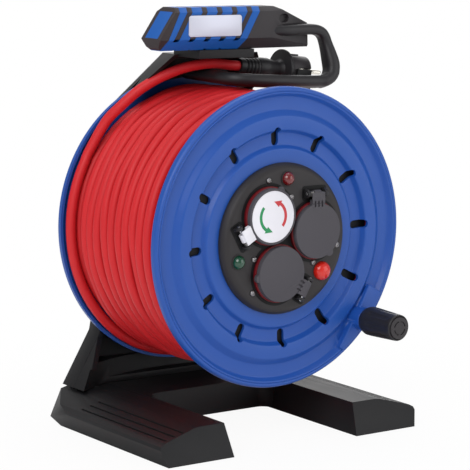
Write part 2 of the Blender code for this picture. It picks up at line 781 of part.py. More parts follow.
def make_lid_spring(index, frame):
    """A torsion spring round the pin, between the lid's knuckle and the right ear."""
    start = KNUCKLE_HALF + SPRING_WIRE + SEAT_GAP
    pitch = (EAR_INNER - SEAT_GAP - SPRING_WIRE - start) / SPRING_TURNS
    points = []
    for i in range(SPRING_TURNS * 8 + 1):
        y, z = polar(SPRING_COIL, i * 45)
        points.append((start + pitch * i / 8, y, z))
    print(f"lid spring {index + 1}: least gap to itself {(pitch - 2 * SPRING_WIRE) * 1000:.2f} mm")
    tube(f"lid_spring_{index + 1}", points, SPRING_WIRE, frame, STEEL, 1)


def make_socket_plate():
    profile = [
        (0, PLATE_FACE),
        (PLATE_RADIUS - 0.0065, PLATE_FACE),
        (PLATE_RADIUS - 0.0025, PLATE_FACE - 0.0022),
        (PLATE_RADIUS, PLATE_FACE - 0.0065),
        (PLATE_RADIUS, PLATE_FACE - PLATE_RISE),
    ]
    plate = turned("socket_plate", profile, drum, GREY, PLATE_SIDES, PLATE_WALL)
    for index in range(3):
        centre = polar(SOCKET_RING, SOCKET_TURN + 120 * index)
        make_socket(index, centre)
        bore_at(plate, drum, *centre, SOCKET_BODY_RADIUS + SEAT_GAP, 0.05, PLATE_FACE + 0.002, 20)
    for index in range(3):
        frame = bpy.data.objects[f"lid_hinge_{index + 1}"]
        floor = PLATE_FACE - HINGE_HEIGHT - PLATE_WALL / 2
        for side in (-1, 1):
            low, high = sorted((side * EAR_INNER, side * EAR_OUTER))
            outline = [(-0.0042, floor), (0.0042, floor)] + arc((0, 0), 0.0034, 0, 180, 3)
            ear = slab("ear", [outline], low, high, "YZ")
            combine(plate, place(f"ear_{index}_{side}", ear, frame), "UNION")
        bore = along_x(rod("ear_bore", HINGE_PIN_RADIUS + SEAT_GAP, -0.02, 0.02, 8))
        combine(plate, place(f"ear_bore_{index}", bore, frame))
        sx, sy = polar(RIM_SCREW_RING, RIM_SCREW_TURN + 120 * index)
        bore_at(plate, drum, sx, sy, SCREW_RADIUS + SEAT_GAP, 0.05, 0.2)
        screw_at(f"rim_screw_{index + 1}", drum, sx, sy, PLATE_FACE, PLATE_RISE + 0.002)
        sx, sy = polar(INNER_SCREW_RING, INNER_SCREW_TURN + 120 * index)
        bore_at(plate, drum, sx, sy, SCREW_RADIUS + SEAT_GAP, 0.05, 0.2)
        screw_at(f"inner_screw_{index + 1}", drum, sx, sy, PLATE_FACE, 0.006)
    for name, angle in LAMP_ANGLES.items():
        x, y = polar(LAMP_RING, angle)
        bore_at(plate, drum, x, y, LAMP_STEM + SEAT_GAP, 0.05, 0.2, 12)
        base, foot = PLATE_FACE + SEAT_GAP, PLATE_FACE - LAMP_DEPTH
        dome = dome_profile(LAMP_RADIUS, 0.95, base, 18)
        profile = dome + [(LAMP_STEM, base), (LAMP_STEM, foot), (0, foot)]
        lens = turned(name, profile, drum, GREEN if "green" in name else RED_LENS, 10)
        lens.location = (x, y, 0)
    x, y = polar(BUTTON_RING, BUTTON_ANGLE)
    bore_at(plate, drum, x, y, BUTTON_RADIUS + RUN_GAP, 0.05, 0.2, 16)


def dome_profile(radius, rise, base, step):
    """A dome from its top down to base, as tall as rise times its radius."""
    points = []
    for degrees in range(0, 91, step):
        across, up = radius * math.sin(math.radians(degrees)), math.cos(math.radians(degrees))
        points.append((across, base + radius * rise * up))
    return points


def make_reset_button():
    x, y = polar(BUTTON_RING, BUTTON_ANGLE)
    dome = dome_profile(BUTTON_RADIUS, 0.75, PLATE_FACE + BUTTON_SKIRT, 18)
    foot = PLATE_FACE - 0.0045
    tip = CUTOUT_FACE + BUTTON_TRAVEL + 0.0005
    profile = dome + [(BUTTON_RADIUS, foot), (BUTTON_STEM, foot), (BUTTON_STEM, tip), (0, tip)]
    button = turned("reset_button", profile, drum, SIGNAL_RED, 16)
    button.location = (x, y, 0)
    cx, cy = polar(BUTTON_RING - CUTOUT_RADIUS, BUTTON_ANGLE)
    body = rod("cutout", CUTOUT_RADIUS, CUTOUT_FACE - CUTOUT_LENGTH, CUTOUT_FACE, 20, (cx, cy))
    cutout = place("thermal_cutout", body, drum, BLACK)
    px, py = polar(BUTTON_RING - CUTOUT_RADIUS * 1.08, BUTTON_ANGLE - 10.2)
    post_top = PLATE_FACE - PLATE_WALL - SEAT_GAP
    post = rod("post", CUTOUT_POST_RADIUS, CUTOUT_FACE - 0.002, post_top, 12, (px, py))
    combine(cutout, place("cutout_post", post, drum), "UNION")


def make_crank():
    x, y = polar(KNOB_RING, KNOB_ANGLE)
    frame = empty("crank_frame", drum, (x, y, 0))
    foot = DISH_FACE - FLANGE_WALL + 0.0031 + SEAT_GAP
    profile = [
        (0, CRANK_HEAD),
        (CRANK_HEAD_RADIUS, CRANK_HEAD),
        (CRANK_HEAD_RADIUS, CRANK_HEAD - CRANK_HEAD_HEIGHT),
        (CRANK_PIN_RADIUS, CRANK_HEAD - CRANK_HEAD_HEIGHT),
        (CRANK_PIN_RADIUS, foot),
        (0, foot),
    ]
    turned("crank_pin", profile, frame, STEEL, 16)
    seat = CRANK_HEAD - CRANK_HEAD_HEIGHT - RUN_GAP
    tip = KNOB_RADIUS - 0.0012
    knob = [
        (CRANK_PIN_RADIUS + RUN_GAP, KNOB_BASE),
        (CRANK_PIN_RADIUS + RUN_GAP, seat),
        (0.0098, seat),
        (0.0098, KNOB_TIP - 0.0032),
        (tip - 0.0020, KNOB_TIP - 0.0032),
        (tip - 0.0014, KNOB_TIP - 0.0012),
        (tip - 0.0002, KNOB_TIP - 0.0022),
        (tip, KNOB_TIP - 0.005),
        (KNOB_RADIUS, KNOB_BASE + 0.012),
        (KNOB_RADIUS, KNOB_BASE + 0.006),
        (KNOB_RADIUS - 0.0016, KNOB_BASE + 0.0015),
        (KNOB_RADIUS - 0.0040, KNOB_BASE),
    ]
    turned("crank_knob", knob, frame, BLACK, 18)
    cap_radius = tip - 0.0022
    cap = turned(
        "knob_cap",
        [
            (0, KNOB_TIP),
            (cap_radius - 0.0006, KNOB_TIP),
            (cap_radius, KNOB_TIP - 0.0006),
            (cap_radius, KNOB_TIP - 0.0032 + SEAT_GAP),
            (0, KNOB_TIP - 0.0032 + SEAT_GAP),
        ],
        frame,
        GREY,
        24,
    )
    for quarter in range(4):
        start = 12 + quarter * 90
        ring = arc((0, 0), 0.0072, start, start + 66, 2) + arc((0, 0), 0.0058, start + 66, start, 2)
        notch = slab("notch", [ring], KNOB_TIP - 0.001, KNOB_TIP + 0.01)
        combine(cap, place(f"notch_{quarter}", notch, frame))


def winding_points():
    """The outer layer in the drum's frame, from its front end to where the lead leaves the last turn."""
    points = []
    steps = TURN_COUNT * TURN_POINTS
    for i in range(steps + 1):
        left = (steps - i) / TURN_POINTS
        lane = FRONT_LANE - TURN_PITCH * (TURN_COUNT - max(left, 1))
        share = min(1.0, max(0.0, (1 - left) / 0.62))
        ease = share * share * (3 - 2 * share)
        lane += (-REAR_LANE - lane) * ease
        rise = min(1.0, max(0.0, (share - 0.6) / 0.4))
        radius = OUTER_LAYER_RADIUS + (LAST_TURN_RADIUS - OUTER_LAYER_RADIUS) * rise * rise * (3 - 2 * rise)
        x, y = polar(radius, LEAD_START_ANGLE + 360 * left)
        points.append(Vector((x, y, lane)))
    return points


def least_gap(points, radius):
    """The least distance between this tube's skin at one turn and at any other."""
    least = 1.0
    apart = TURN_POINTS // 2
    for i, a in enumerate(points):
        for b in points[i + apart :]:
            least = min(least, (a - b).length)
    return least - 2 * radius


def make_cable():
    points = winding_points()
    tube("cable_winding", points, CABLE_RADIUS, drum, RED, 1)
    print(f"cable winding: least gap to itself {least_gap(points, CABLE_RADIUS) * 1000:.2f} mm")
    start = drum_point(points[-1])
    heading = (drum_point(points[-1]) - drum_point(points[-2])).normalized()
    boot = -PLUG_NECK_LENGTH - PLUG_BOOT_LENGTH - SEAT_GAP * 2
    route = [
        start + heading * SEAT_GAP,
        start + heading * 2 * CABLE_RADIUS,
        *above_flange(LEAD_ROUTE),
        plug_point(boot - 2 * CABLE_RADIUS),
        plug_point(boot),
    ]
    tube("cable_lead", smooth_route(route, 2.1 * CABLE_RADIUS), CABLE_RADIUS, reel, RED, 2)


def above_flange(points):
    return [Vector((x, y, FLANGE_TOP + z)) for x, y, z in points]


def drum_point(point):
    """A point of the drum's frame in the stand's frame."""
    return Vector((point[0], -point[2], point[1] + AXLE_HEIGHT))


def plug_point(along):
    """A point on the plug's axis, from the finger collar's middle towards the pins."""
    tilt = math.radians(PLUG_TILT)
    return Vector(
        (PLUG_COLLAR_X + along * math.cos(tilt), PLUG_Y, PLUG_COLLAR_Z - along * math.sin(tilt))
    )


def make_plug():
    # In the plug's frame Z runs along its axis towards the pins, and X points down.
    frame = empty(
        "plug_axis",
        reel,
        (PLUG_COLLAR_X, PLUG_Y, PLUG_COLLAR_Z),
        (0, math.pi / 2 + math.radians(PLUG_TILT), 0),
    )
    neck = [
        (0, 0.0016),
        (PLUG_COLLAR_RADIUS, 0.0016),
        (PLUG_COLLAR_RADIUS, -0.0016),
        (PLUG_NECK_RADIUS, -0.0024),
        (PLUG_NECK_RADIUS - 0.0022, -0.006),
        (PLUG_NECK_RADIUS - 0.0018, -0.012),
        (PLUG_NECK_RADIUS, -0.020),
        (PLUG_NECK_RADIUS, -0.027),
        (PLUG_NECK_RADIUS - 0.0008, -PLUG_NECK_LENGTH),
        (0, -PLUG_NECK_LENGTH),
    ]
    turned("plug_body", neck, frame, BLACK, 20)
    sides = rounded_box(PLUG_FACE_FLAT, PLUG_FACE_RADIUS, PLUG_FACE_CORNER, 5)
    face_end = PLUG_FACE_START + PLUG_FACE_LENGTH
    face = place("plug_face", slab("face", [sides], PLUG_FACE_START + SEAT_GAP, face_end), frame, GREY)
    key_low = (-PLUG_FACE_FLAT - 0.0016, -0.0025, PLUG_FACE_START + 0.004)
    key_high = (-PLUG_FACE_FLAT + 0.002, 0.0025, PLUG_FACE_START + 0.018)
    combine(face, place("plug_key", box("key", key_low, key_high), frame), "UNION")
    for name, side in (("plug_pin_rear", 1), ("plug_pin_front", -1)):
        low, at = face_end - 0.006, (0, side * CONTACT_SPACING / 2)
        pin = rod(name, PLUG_PIN_RADIUS, low + SEAT_GAP, face_end + PLUG_PIN_LENGTH, 12, at)
        place(name, pin, frame, BRASS)
        bore = rod("pin_hole", PLUG_PIN_RADIUS + SEAT_GAP, low, face_end + 0.01, 12, at)
        combine(face, place(f"hole_of_{name}", bore, frame))
    start = -PLUG_NECK_LENGTH - SEAT_GAP
    boot = [(0, start), (0.0090, start)]
    ribs = 4
    rib = 0.0040
    for i in range(ribs):
        top = start - 0.002 - i * rib
        outer = 0.0090 - 0.0003 * i
        inner = outer - 0.0014
        boot += [(outer, top), (inner, top - rib * 0.15)]
        boot += [(inner, top - rib * 0.5), (outer, top - rib * 0.65)]
    low = start - PLUG_BOOT_LENGTH
    boot += [(0.0080, low + 0.0038), (0.0074, low), (0, low)]
    turned("plug_boot", boot, frame, BLACK, 10)
    make_plug_holder(frame)


def make_plug_holder(frame):
    """A trough under the plug's round face, against the back of the bow's lower run."""
    gap = HOLDER_GAP
    low, high = PLUG_FACE_START + 0.003, PLUG_FACE_START + PLUG_FACE_LENGTH - 0.002
    inner = rounded_box(PLUG_FACE_FLAT + gap, PLUG_FACE_RADIUS + gap, PLUG_FACE_CORNER, 5)
    deep = PLUG_FACE_FLAT + gap + HOLDER_WALL
    half = PLUG_FACE_RADIUS + gap + HOLDER_WALL
    block = box("holder", (-0.002, -half, low), (deep, half, high))
    holder = place("plug_holder", block, frame, BLACK)
    combine(holder, place("holder_room", slab("room", [inner], -0.05, 0.08), frame))
    front = BOW_RUN_REAR + SEAT_GAP - PLUG_Y
    ledge_high = (deep, -PLUG_FACE_RADIUS - gap - 0.001, high - 0.002)
    ledge = box("ledge", (0.006, front, low + 0.002), ledge_high)
    combine(holder, place("holder_ledge", ledge, frame), "UNION")


def leg_x(height):
    """The leg's outer side at a height above the floor."""
    share = (height - FOOT_HEIGHT) / (LEG_KNEE_HEIGHT - FOOT_HEIGHT)
    return LEG_FOOT + (LEG_KNEE - LEG_FOOT) * share


def frame_outline(inset=0.0):
    bottom = FOOT_HEIGHT + SEAT_GAP + inset
    lean = inset * 1.16
    return mirrored(
        [
            (leg_x(bottom) - lean, bottom),
            (LEG_KNEE - inset, LEG_KNEE_HEIGHT - inset * 0.3),
            (LEG_WAIST - inset, LEG_WAIST_HEIGHT),
            (SHOULDER - inset, SHOULDER_HEIGHT - inset * 0.4),
            (FRAME_TOP - inset * 0.6, FRAME_HEIGHT - inset),
        ]
    )


def make_rear_frame():
    front = FRAME_FRONT
    web = REAR_FACE - PANEL_WALL
    panel = slab("frame", [frame_outline()], front, REAR_FACE, "XZ")
    frame = place("rear_frame", panel, reel, BLACK)
    pocket = slab("pocket", [frame_outline(RIM_WALL)], front - 0.01, web, "XZ")
    combine(frame, place("frame_pocket", pocket, reel))
    boss = rod("hub", HUB_BOSS_RADIUS, -web - 0.001, -HUB_BOSS_FACE, 28)
    combine(frame, place("hub_boss", boss, drum), "UNION")
    for degrees, reach in FRAME_RIBS.items():
        low = (HUB_BOSS_RADIUS - 0.004, -RIB_HALF, -web - 0.001)
        rib = box("rib", low, (reach, RIB_HALF, -front - 0.002))
        rib.transform(Matrix.Rotation(math.radians(degrees), 4, "Z"))
        combine(frame, place(f"rib_{degrees}", rib, drum), "UNION")
    step_low = FOOT_HEIGHT + SEAT_GAP
    half = [(leg_x(step_low) - 0.0002, step_low + 0.0001), (leg_x(STEP_HEIGHT) - 0.0002, STEP_HEIGHT)]
    step = place("step", slab("step", [mirrored(half)], 0.052, REAR_FACE - 0.001, "XZ"), reel)
    bowl = rod("bowl", STEP_RADIUS, -0.01, 0.2, 56, (0, STEP_MIDDLE - STEP_RADIUS))
    combine(step, place("bowl", bowl, reel))
    combine(frame, step, "UNION")
    for side in (-1, 1):
        points = []
        low, deep = STEP_HEIGHT - 0.004, front + 0.003
        for height, y in ((low, FIN_FRONT), (low, deep), (FIN_HEIGHT, front), (FIN_HEIGHT, deep)):
            outer = leg_x(height) - 0.0003
            points += [(side * outer, y, height), (side * (outer - RIM_WALL), y, height)]
        combine(frame, place(f"leg_fin_{side}", hull("fin", points), reel), "UNION")
    bore_at(frame, drum, 0, 0, AXLE_RADIUS, -0.2, 0, 24)
    make_frame_screws(frame)


def make_frame_screws(frame):
    """Screws from under the base into the frame's step, and from the frame's top rim into the hood."""
    base = bpy.data.objects["base_frame"]
    hood = bpy.data.objects["top_hood"]
    bore = FRAME_SCREW_RADIUS + SEAT_GAP
    for number, (x, y) in enumerate(BASE_SCREWS, 1):
        bore_at(base, reel, x, y, FRAME_SCREW_HEAD + 0.0012, -0.01, BASE_SCREW_SEAT, 12)
        bore_at(base, reel, x, y, bore, 0.001, 0.2)
        bore_at(frame, reel, x, y, bore, 0.001, FOOT_HEIGHT + 0.014)
        below_screw(f"base_screw_{number}", x, y, BASE_SCREW_SEAT, FOOT_HEIGHT + 0.012)
    for number, x in enumerate(HOOD_SCREWS, 1):
        y = REAR_FACE - 0.012
        rim = FRAME_HEIGHT - RIM_WALL
        bore_at(frame, reel, x, y, bore, rim - 0.002, rim + 0.02)
        bore_at(hood, reel, x, y, bore, rim + 0.001, FRAME_HEIGHT + 0.012)
        below_screw(f"hood_screw_{number}", x, y, rim, FRAME_HEIGHT + 0.010)


def below_screw(name, x, y, seat, tip):
    """A pan-head screw driven upwards, its head under seat."""
    low = seat - SEAT_GAP
    profile = [
        (0, tip),
        (FRAME_SCREW_RADIUS, tip),
        (FRAME_SCREW_RADIUS, low),
        (FRAME_SCREW_HEAD, low),
        (FRAME_SCREW_HEAD - 0.0006, low - 0.0024),
        (0, low - 0.0026),
    ]
    screw = turned(name, profile, reel, STEEL, sides=6)
    screw.location = (x, y, 0)


def make_base():
    height = FOOT_HEIGHT
    rear = REAR_FACE
    foot = [
        (FOOT_INNER, 0),
        (FOOT_OUTER, 0),
        (FOOT_EDGE - 0.0012, 0.0115),
        (FOOT_EDGE, 0.0155),
        (FOOT_EDGE - 0.0012, 0.0185),
        (FOOT_EDGE - 0.0060, FOOT_EDGE_HEIGHT + 0.0010),
        (FOOT_FLAT + 0.004, height - 0.0008),
        (FOOT_FLAT - 0.002, height),
        (FOOT_INNER_TOP, height),
    ]
    left = [(-x, z) for x, z in foot[::-1]]
    base = place("base_frame", slab("base", [foot], FOOT_FRONT, rear, "XZ"), reel, BLACK)
    combine(base, place("left_foot", slab("left", [left], FOOT_FRONT, rear, "XZ"), reel), "UNION")
    edge = FOOT_INNER_TOP + 0.008
    corner = arc((FOOT_INNER - CROSS_FILLET, CROSS_FRONT - CROSS_FILLET), CROSS_FILLET, 0, 90, 5)
    plan = mirrored([(edge, rear - 0.002), (edge, CROSS_FRONT - CROSS_FILLET)] + corner)
    cross = slab("cross", [plan], 0.0006, height - 0.0002)
    combine(base, place("cross_member", cross, reel), "UNION")
    slope = (height - FOOT_EDGE_HEIGHT) / (FOOT_EDGE - 0.006 - FOOT_FLAT)
    for side in (-1, 1):
        lean = []
        low, high = -0.001, height + 0.001
        for x in (FOOT_INNER - 0.01, FOOT_EDGE + 0.01):
            for y, z in ((-0.01, low), (-0.0004, low), (FOOT_LEAN, high), (-0.01, high)):
                lean.append((side * x, FOOT_FRONT + y, z))
        combine(base, place(f"front_lean_{side}", hull("lean", lean), reel))
        beyond = FOOT_EDGE + 0.01
        past, edge_x = rear + 0.0005, FOOT_EDGE + 0.0002
        corners = ((beyond, REAR_CORNER_Y), (edge_x, REAR_CORNER_Y), (REAR_CORNER_X, past), (beyond, past))
        points = [(side * x, y, z) for z in (-0.01, 0.05) for x, y in corners]
        combine(base, place(f"rear_corner_{side}", hull("corner", points), reel))
        for n in range(3):
            x = GROOVE_FIRST + GROOVE_PITCH * n
            z = height - slope * (x - FOOT_FLAT)
            low = (x - GROOVE_WIDTH / 2, FOOT_FRONT + 0.013, z - GROOVE_DEPTH)
            high = (x + GROOVE_WIDTH / 2, 0.042, z + 0.01)
            if side < 0:
                low, high = (-high[0], low[1], low[2]), (-low[0], high[1], high[2])
            combine(base, place(f"groove_{side}_{n}", box("groove", low, high), reel))


def make_top_hood():
    cheek_x, cheek_y = HOOD_CHEEK
    cheek_z = FLANGE_TOP + HOOD_CHEEK_RISE
    rear = REAR_FACE
    bottom = FRAME_HEIGHT + SEAT_GAP
    points = []
    for side in (-1, 1):
        points += [
            (side * HOOD_FRONT_HALF, HOOD_FRONT, HOOD_HEIGHT),
            (side * cheek_x, cheek_y, cheek_z),
            (side * HOOD_REAR_HALF, rear, HOOD_REAR_HEIGHT),
            (side * FRAME_TOP, rear, bottom + 0.002),
            (side * FRAME_TOP, rear, bottom),
            (side * FRAME_TOP, rear - FRAME_DEPTH, bottom),
        ]
    hood = place("top_hood", hull("hood", points), reel, BLACK)
    along = (HOOD_REAR_HALF - HOOD_FRONT_HALF) / (rear - HOOD_FRONT)
    fall = (HOOD_REAR_HEIGHT - HOOD_HEIGHT) / (rear - HOOD_FRONT)
    drop = (cheek_z - HOOD_HEIGHT - fall * (cheek_y - HOOD_FRONT)) / (
        cheek_x - HOOD_FRONT_HALF - along * (cheek_y - HOOD_FRONT)
    )
    lift = HOOD_WALL * math.hypot(1, drop)
    room = []
    for y in (HOOD_FRONT - 0.005, WEB_FRONT):
        roof = HOOD_HEIGHT + fall * (y - HOOD_FRONT) - HOOD_WALL
        half = HOOD_FRONT_HALF + along * (y - HOOD_FRONT) + (lift - HOOD_WALL) / drop
        reach = 0.040
        for side in (-1, 1):
            outer = side * (half + reach)
            room += [(side * half, y, roof), (outer, y, roof + drop * reach)]
            room.append((outer, y, FRAME_HEIGHT - 0.019))
    combine(hood, place("hood_room", hull("room", room), reel))
    axle_side = empty("axle_side", reel, (0, 0, AXLE_HEIGHT), (math.pi / 2, 0, 0))
    back_room = rod("back_room", DRUM_ROOM, -HUB_BOSS_FACE - 0.0005, -WEB_FRONT - WEB_WALL, 72)
    front_room = rod("front_room", WEB_RADIUS, -HUB_BOSS_FACE, 0.1, 72)
    combine(hood, place("hood_back_room", back_room, axle_side))
    combine(hood, place("hood_front_room", front_room, axle_side))
    for x in (-0.033, 0.020):
        low = AXLE_HEIGHT + WEB_RADIUS + 0.002
        high = (x + 0.0012, WEB_FRONT + 0.001, low + 0.016)
        rib = box("hood_rib", (x - 0.0012, WEB_FRONT - 0.007, low), high)
        combine(hood, place(f"hood_rib_{x}", rib, reel), "UNION")
    low = (NECK_LEFT, NECK_FRONT, HOOD_HEIGHT - 0.002)
    neck = box("neck", low, (NECK_RIGHT, HOOD_FRONT + 0.009, GRIP_BOTTOM - SEAT_GAP))
    combine(hood, place("grip_neck", neck, reel), "UNION")


def grip_side(inset=0.0):
    """The grip's two ends seen from the front. The section closes it above and below."""
    i = inset
    return [
        (-0.0930 + i, GRIP_BOTTOM + 0.0035),
        (-0.0776 + i, GRIP_BOTTOM - 0.0100),
        (0.0870 - i, GRIP_BOTTOM - 0.0100),
        (0.0850 - i, GRIP_BOTTOM + 0.0235),
        (0.0176 - i, GRIP_TOP + 0.0100),
        (-0.0676 + i, GRIP_TOP + 0.0100),
        (-0.0950 + i, GRIP_BOTTOM + 0.0110),
    ]


def grip_section(inset=0.0):
    """The grip's section across its length, as (Y, Z)."""
    d = GRIP_HALF_DEPTH - inset
    low, high = GRIP_BOTTOM + inset, GRIP_TOP - inset
    half = [(d - 0.008, low), (d, low + 0.0105), (d, high - 0.0045), (d - 0.006, high)]
    return mirrored(half)


def grip_plan(inset=0.0):
    d = GRIP_HALF_DEPTH + 0.001 - inset
    return [(-0.12, -d), (0.030, -d), (0.090, -d + 0.008), (0.090, d - 0.006), (0.030, d), (-0.12, d)]


def grip_block(name, material, inset=0.0):
    block = place(name, slab(name, [grip_side(inset)], -0.03, 0.03, "XZ"), reel, material)
    section = place(f"section_of_{name}", slab("section", [grip_section(inset)], -0.2, 0.2, "YZ"), reel)
    plan = place(f"plan_of_{name}", slab("plan", [grip_plan(inset)], *GRIP_SPAN), reel)
    combine(block, section, "INTERSECT")
    combine(block, plan, "INTERSECT")
    return block


def cover_zone(name, shift):
    """Everything to the left of the slanted end of the soft cover."""
    low, high = COVER_END_LOW + shift, COVER_END_HIGH + shift
    below, above = GRIP_SPAN
    zone = [(-0.2, below), (low, below), (low, GRIP_BOTTOM), (high, GRIP_TOP), (high, above), (-0.2, above)]
    return place(name, slab(name, [zone], -0.1, 0.1, "XZ"), reel)


def bow_object(name, material, grow):
    outline = rounded_box(BOW_DEPTH / 2 + grow, BOW_HEIGHT / 2 + grow, BOW_CORNER + grow * 0.5, 1)[::-1]
    section = bpy.data.curves.new(f"section_of_{name}", "CURVE")
    spline = section.splines.new("POLY")
    spline.points.add(len(outline) - 1)
    for point, (a, b) in zip(spline.points, outline):
        point.co = (a, b, 0, 1)
    spline.use_cyclic_u = True
    holder = place(f"section_object_of_{name}", section, reel)
    route = smooth_route(above_flange(BOW_ROUTE), 0.0085)
    scales = []
    for point in route:
        height = point.z - FLANGE_TOP
        limb = max(0.0, 1 - abs(height - 0.012) / 0.026) if point.x > 0.092 else 0.0
        scales.append(0.96 + 0.32 * limb * limb * (3 - 2 * limb) + (0.07 if height < 0.005 else 0.0))
    return tube(name, route, 0, reel, material, section=holder, scales=scales)


def make_handle():
    bow_object("handle_bow", BLACK, 0.0)
    room_mesh = as_mesh(bow_object("bow_room", None, SEAT_GAP))
    tool = place("bow_room_tool", room_mesh, reel)

    middle = SEAT_GAP / 2
    for name, low, high in (("grip_front_shell", -0.05, -middle), ("grip_rear_shell", middle, 0.05)):
        shell = grip_block(name, GREY)
        half = box("half", (-0.2, low, GRIP_SPAN[0]), (0.2, high, GRIP_SPAN[1]))
        combine(shell, place(f"half_of_{name}", half, reel), "INTERSECT")
        sleeve = grip_block(f"sleeve_room_{name}", None)
        combine(sleeve, grip_block(f"sleeve_core_{name}", None, COVER_WALL + SEAT_GAP))
        combine(sleeve, cover_zone(f"sleeve_end_{name}", SEAT_GAP), "INTERSECT")
        combine(shell, sleeve)
        combine(shell, tool)
    front = bpy.data.objects["grip_front_shell"]
    dimple = slab("dimple", [obround(0.0135, 0.0085)], -0.03, -0.009, "XZ")
    dimple.transform(Matrix.Translation((0.0525, 0, GRIP_BOTTOM + 0.0290)))
    combine(front, place("grip_dimple", dimple, reel))

    cover = grip_block("grip_cover", SOFT_BLUE)
    combine(cover, grip_block("cover_core", None, COVER_WALL))
    combine(cover, cover_zone("cover_end", 0.0), "INTERSECT")
    combine(cover, tool)
    half_x, half_z = NAME_PLATE_HALF
    at = Matrix.Translation((NAME_PLATE_X, 0, GRIP_BOTTOM + NAME_PLATE_RISE))
    floor = -GRIP_HALF_DEPTH + NAME_PLATE_DEPTH
    room = rounded_box(half_x + SEAT_GAP, half_z + SEAT_GAP, NAME_PLATE_CORNER)
    recess = slab("recess", [room], -0.03, floor, "XZ")
    recess.transform(at)
    combine(cover, place("plate_recess", recess, reel))
    outline = rounded_box(half_x, half_z, NAME_PLATE_CORNER)
    plate = slab("plate", [outline], -GRIP_HALF_DEPTH - 0.0004, floor - SEAT_GAP, "XZ")
    plate.transform(at)
    place("grip_name_plate", plate, reel, WHITE)


make_flanges()
make_barrel()
make_axle()
make_lids()
make_socket_plate()
make_reset_button()
make_crank()
make_cable()
make_plug()
make_base()
make_top_hood()
make_rear_frame()
make_handle()

for piece in parts.objects:
    if piece.type == "MESH":
        piece.data.shade_smooth()
        piece.data.set_sharp_from_angle(angle=math.radians(35))
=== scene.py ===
import math

import bmesh
import bpy
from mathutils import Matrix, Vector


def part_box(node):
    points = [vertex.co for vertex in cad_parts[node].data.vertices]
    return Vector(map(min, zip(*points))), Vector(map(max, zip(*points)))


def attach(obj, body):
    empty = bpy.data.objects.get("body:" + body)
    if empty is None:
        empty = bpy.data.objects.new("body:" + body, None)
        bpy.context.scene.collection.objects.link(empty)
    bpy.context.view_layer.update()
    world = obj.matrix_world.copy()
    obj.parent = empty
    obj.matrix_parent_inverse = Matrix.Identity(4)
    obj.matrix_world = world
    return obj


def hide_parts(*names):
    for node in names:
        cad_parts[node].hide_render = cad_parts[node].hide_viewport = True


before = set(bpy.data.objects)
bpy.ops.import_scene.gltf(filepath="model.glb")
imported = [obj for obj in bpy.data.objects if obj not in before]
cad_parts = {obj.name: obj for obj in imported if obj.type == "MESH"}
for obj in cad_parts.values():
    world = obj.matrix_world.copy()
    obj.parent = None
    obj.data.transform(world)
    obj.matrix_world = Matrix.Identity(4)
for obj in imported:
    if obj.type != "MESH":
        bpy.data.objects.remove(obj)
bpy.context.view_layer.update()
scene = bpy.context.scene
print("frame loaded:", len(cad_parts), "nodes")


def at(x, y, z=0.0):
    return Matrix.Translation((x, y, z))


def turned(degrees, axis="Z"):
    return Matrix.Rotation(math.radians(degrees), 4, axis)


# Drum places: X right, Y up, Z out of the socket face. Metres everywhere.
drumLook = {"width": 0.172, "radius": 0.145, "flangeSteps": 192}
axleLow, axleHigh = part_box("axle")
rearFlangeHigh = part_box("rear_flange")[1]
drumCentre = Vector((
    (axleLow.x + axleHigh.x) / 2,
    rearFlangeHigh.y - drumLook["width"] / 2,
    (axleLow.z + axleHigh.z) / 2,
))
drumPlace = Matrix.Translation(drumCentre) @ turned(90, "X")
standPlace = at(0, drumCentre.y)  # stand places: floor at Z 0, the drum's middle at Y 0
fitGap = 0.0002  # between a part and its hole
far = 0.2  # past the end of anything that is cut


# Outlines and profiles

def polar(radius, degrees):
    return radius * math.cos(math.radians(degrees)), radius * math.sin(math.radians(degrees))


def arcPoints(centre, radius, start, end, steps):
    arc = [polar(radius, start + (end - start) * i / steps) for i in range(steps + 1)]
    return [(centre[0] + x, centre[1] + y) for x, y in arc]


def domeLine(radius, height, base):
    # from the top of a dome down to its edge
    line = [polar(1.0, degrees) for degrees in range(90, -1, -6)]
    return [(radius * out, base + height * up) for out, up in line]


def roundedBox(halfA, halfB, radius, steps=5):
    outline = []
    for a, b, start in ((1, 1, 0), (-1, 1, 90), (-1, -1, 180), (1, -1, 270)):
        centre = (a * (halfA - radius), b * (halfB - radius))
        outline += arcPoints(centre, radius, start, start + 90, steps)
    return outline


def obround(length, width, steps=8):
    reach, half = (length - width) / 2, width / 2
    return arcPoints((reach, 0), half, -90, 90, steps) + arcPoints((-reach, 0), half, 90, 270, steps)


def roundCorners(line, radius, steps=4, closed=False):
    # every corner of the line becomes a short curve
    out = []
    count = len(line)
    for i, place in enumerate(line):
        if not closed and i in (0, count - 1):
            out.append(tuple(place))
            continue
        corner = Vector(place)
        before = Vector(line[i - 1]) - corner
        after = Vector(line[(i + 1) % count]) - corner
        cut = min(radius, 0.45 * before.length, 0.45 * after.length)
        start = corner + before.normalized() * cut
        end = corner + after.normalized() * cut
        for k in range(steps + 1):
            t = k / steps
            out.append(tuple((1 - t) ** 2 * start + 2 * t * (1 - t) * corner + t * t * end))
    return out


def wallBehind(line, wall):
    # an open line that runs outwards, moved by the wall to its inner side
    inner = []
    for i, place in enumerate(line):
        ways = []
        if i > 0:
            ways.append((Vector(place) - Vector(line[i - 1])).normalized())
        if i < len(line) - 1:
            ways.append((Vector(line[i + 1]) - Vector(place)).normalized())
        normals = [Vector((-way.y, way.x)) for way in ways]
        mean = sum(normals, Vector((0, 0))).normalized()
        inner.append(tuple(Vector(place) - mean * wall / max(0.6, mean.dot(normals[0]))))
    return inner


def skinOutline(fine, plain, wall, radius):
    # a closed outline: the fine line outside, the plain one behind it
    return roundCorners(fine, radius, 3) + roundCorners(wallBehind(plain, wall), radius, 3)[::-1]


# Meshes

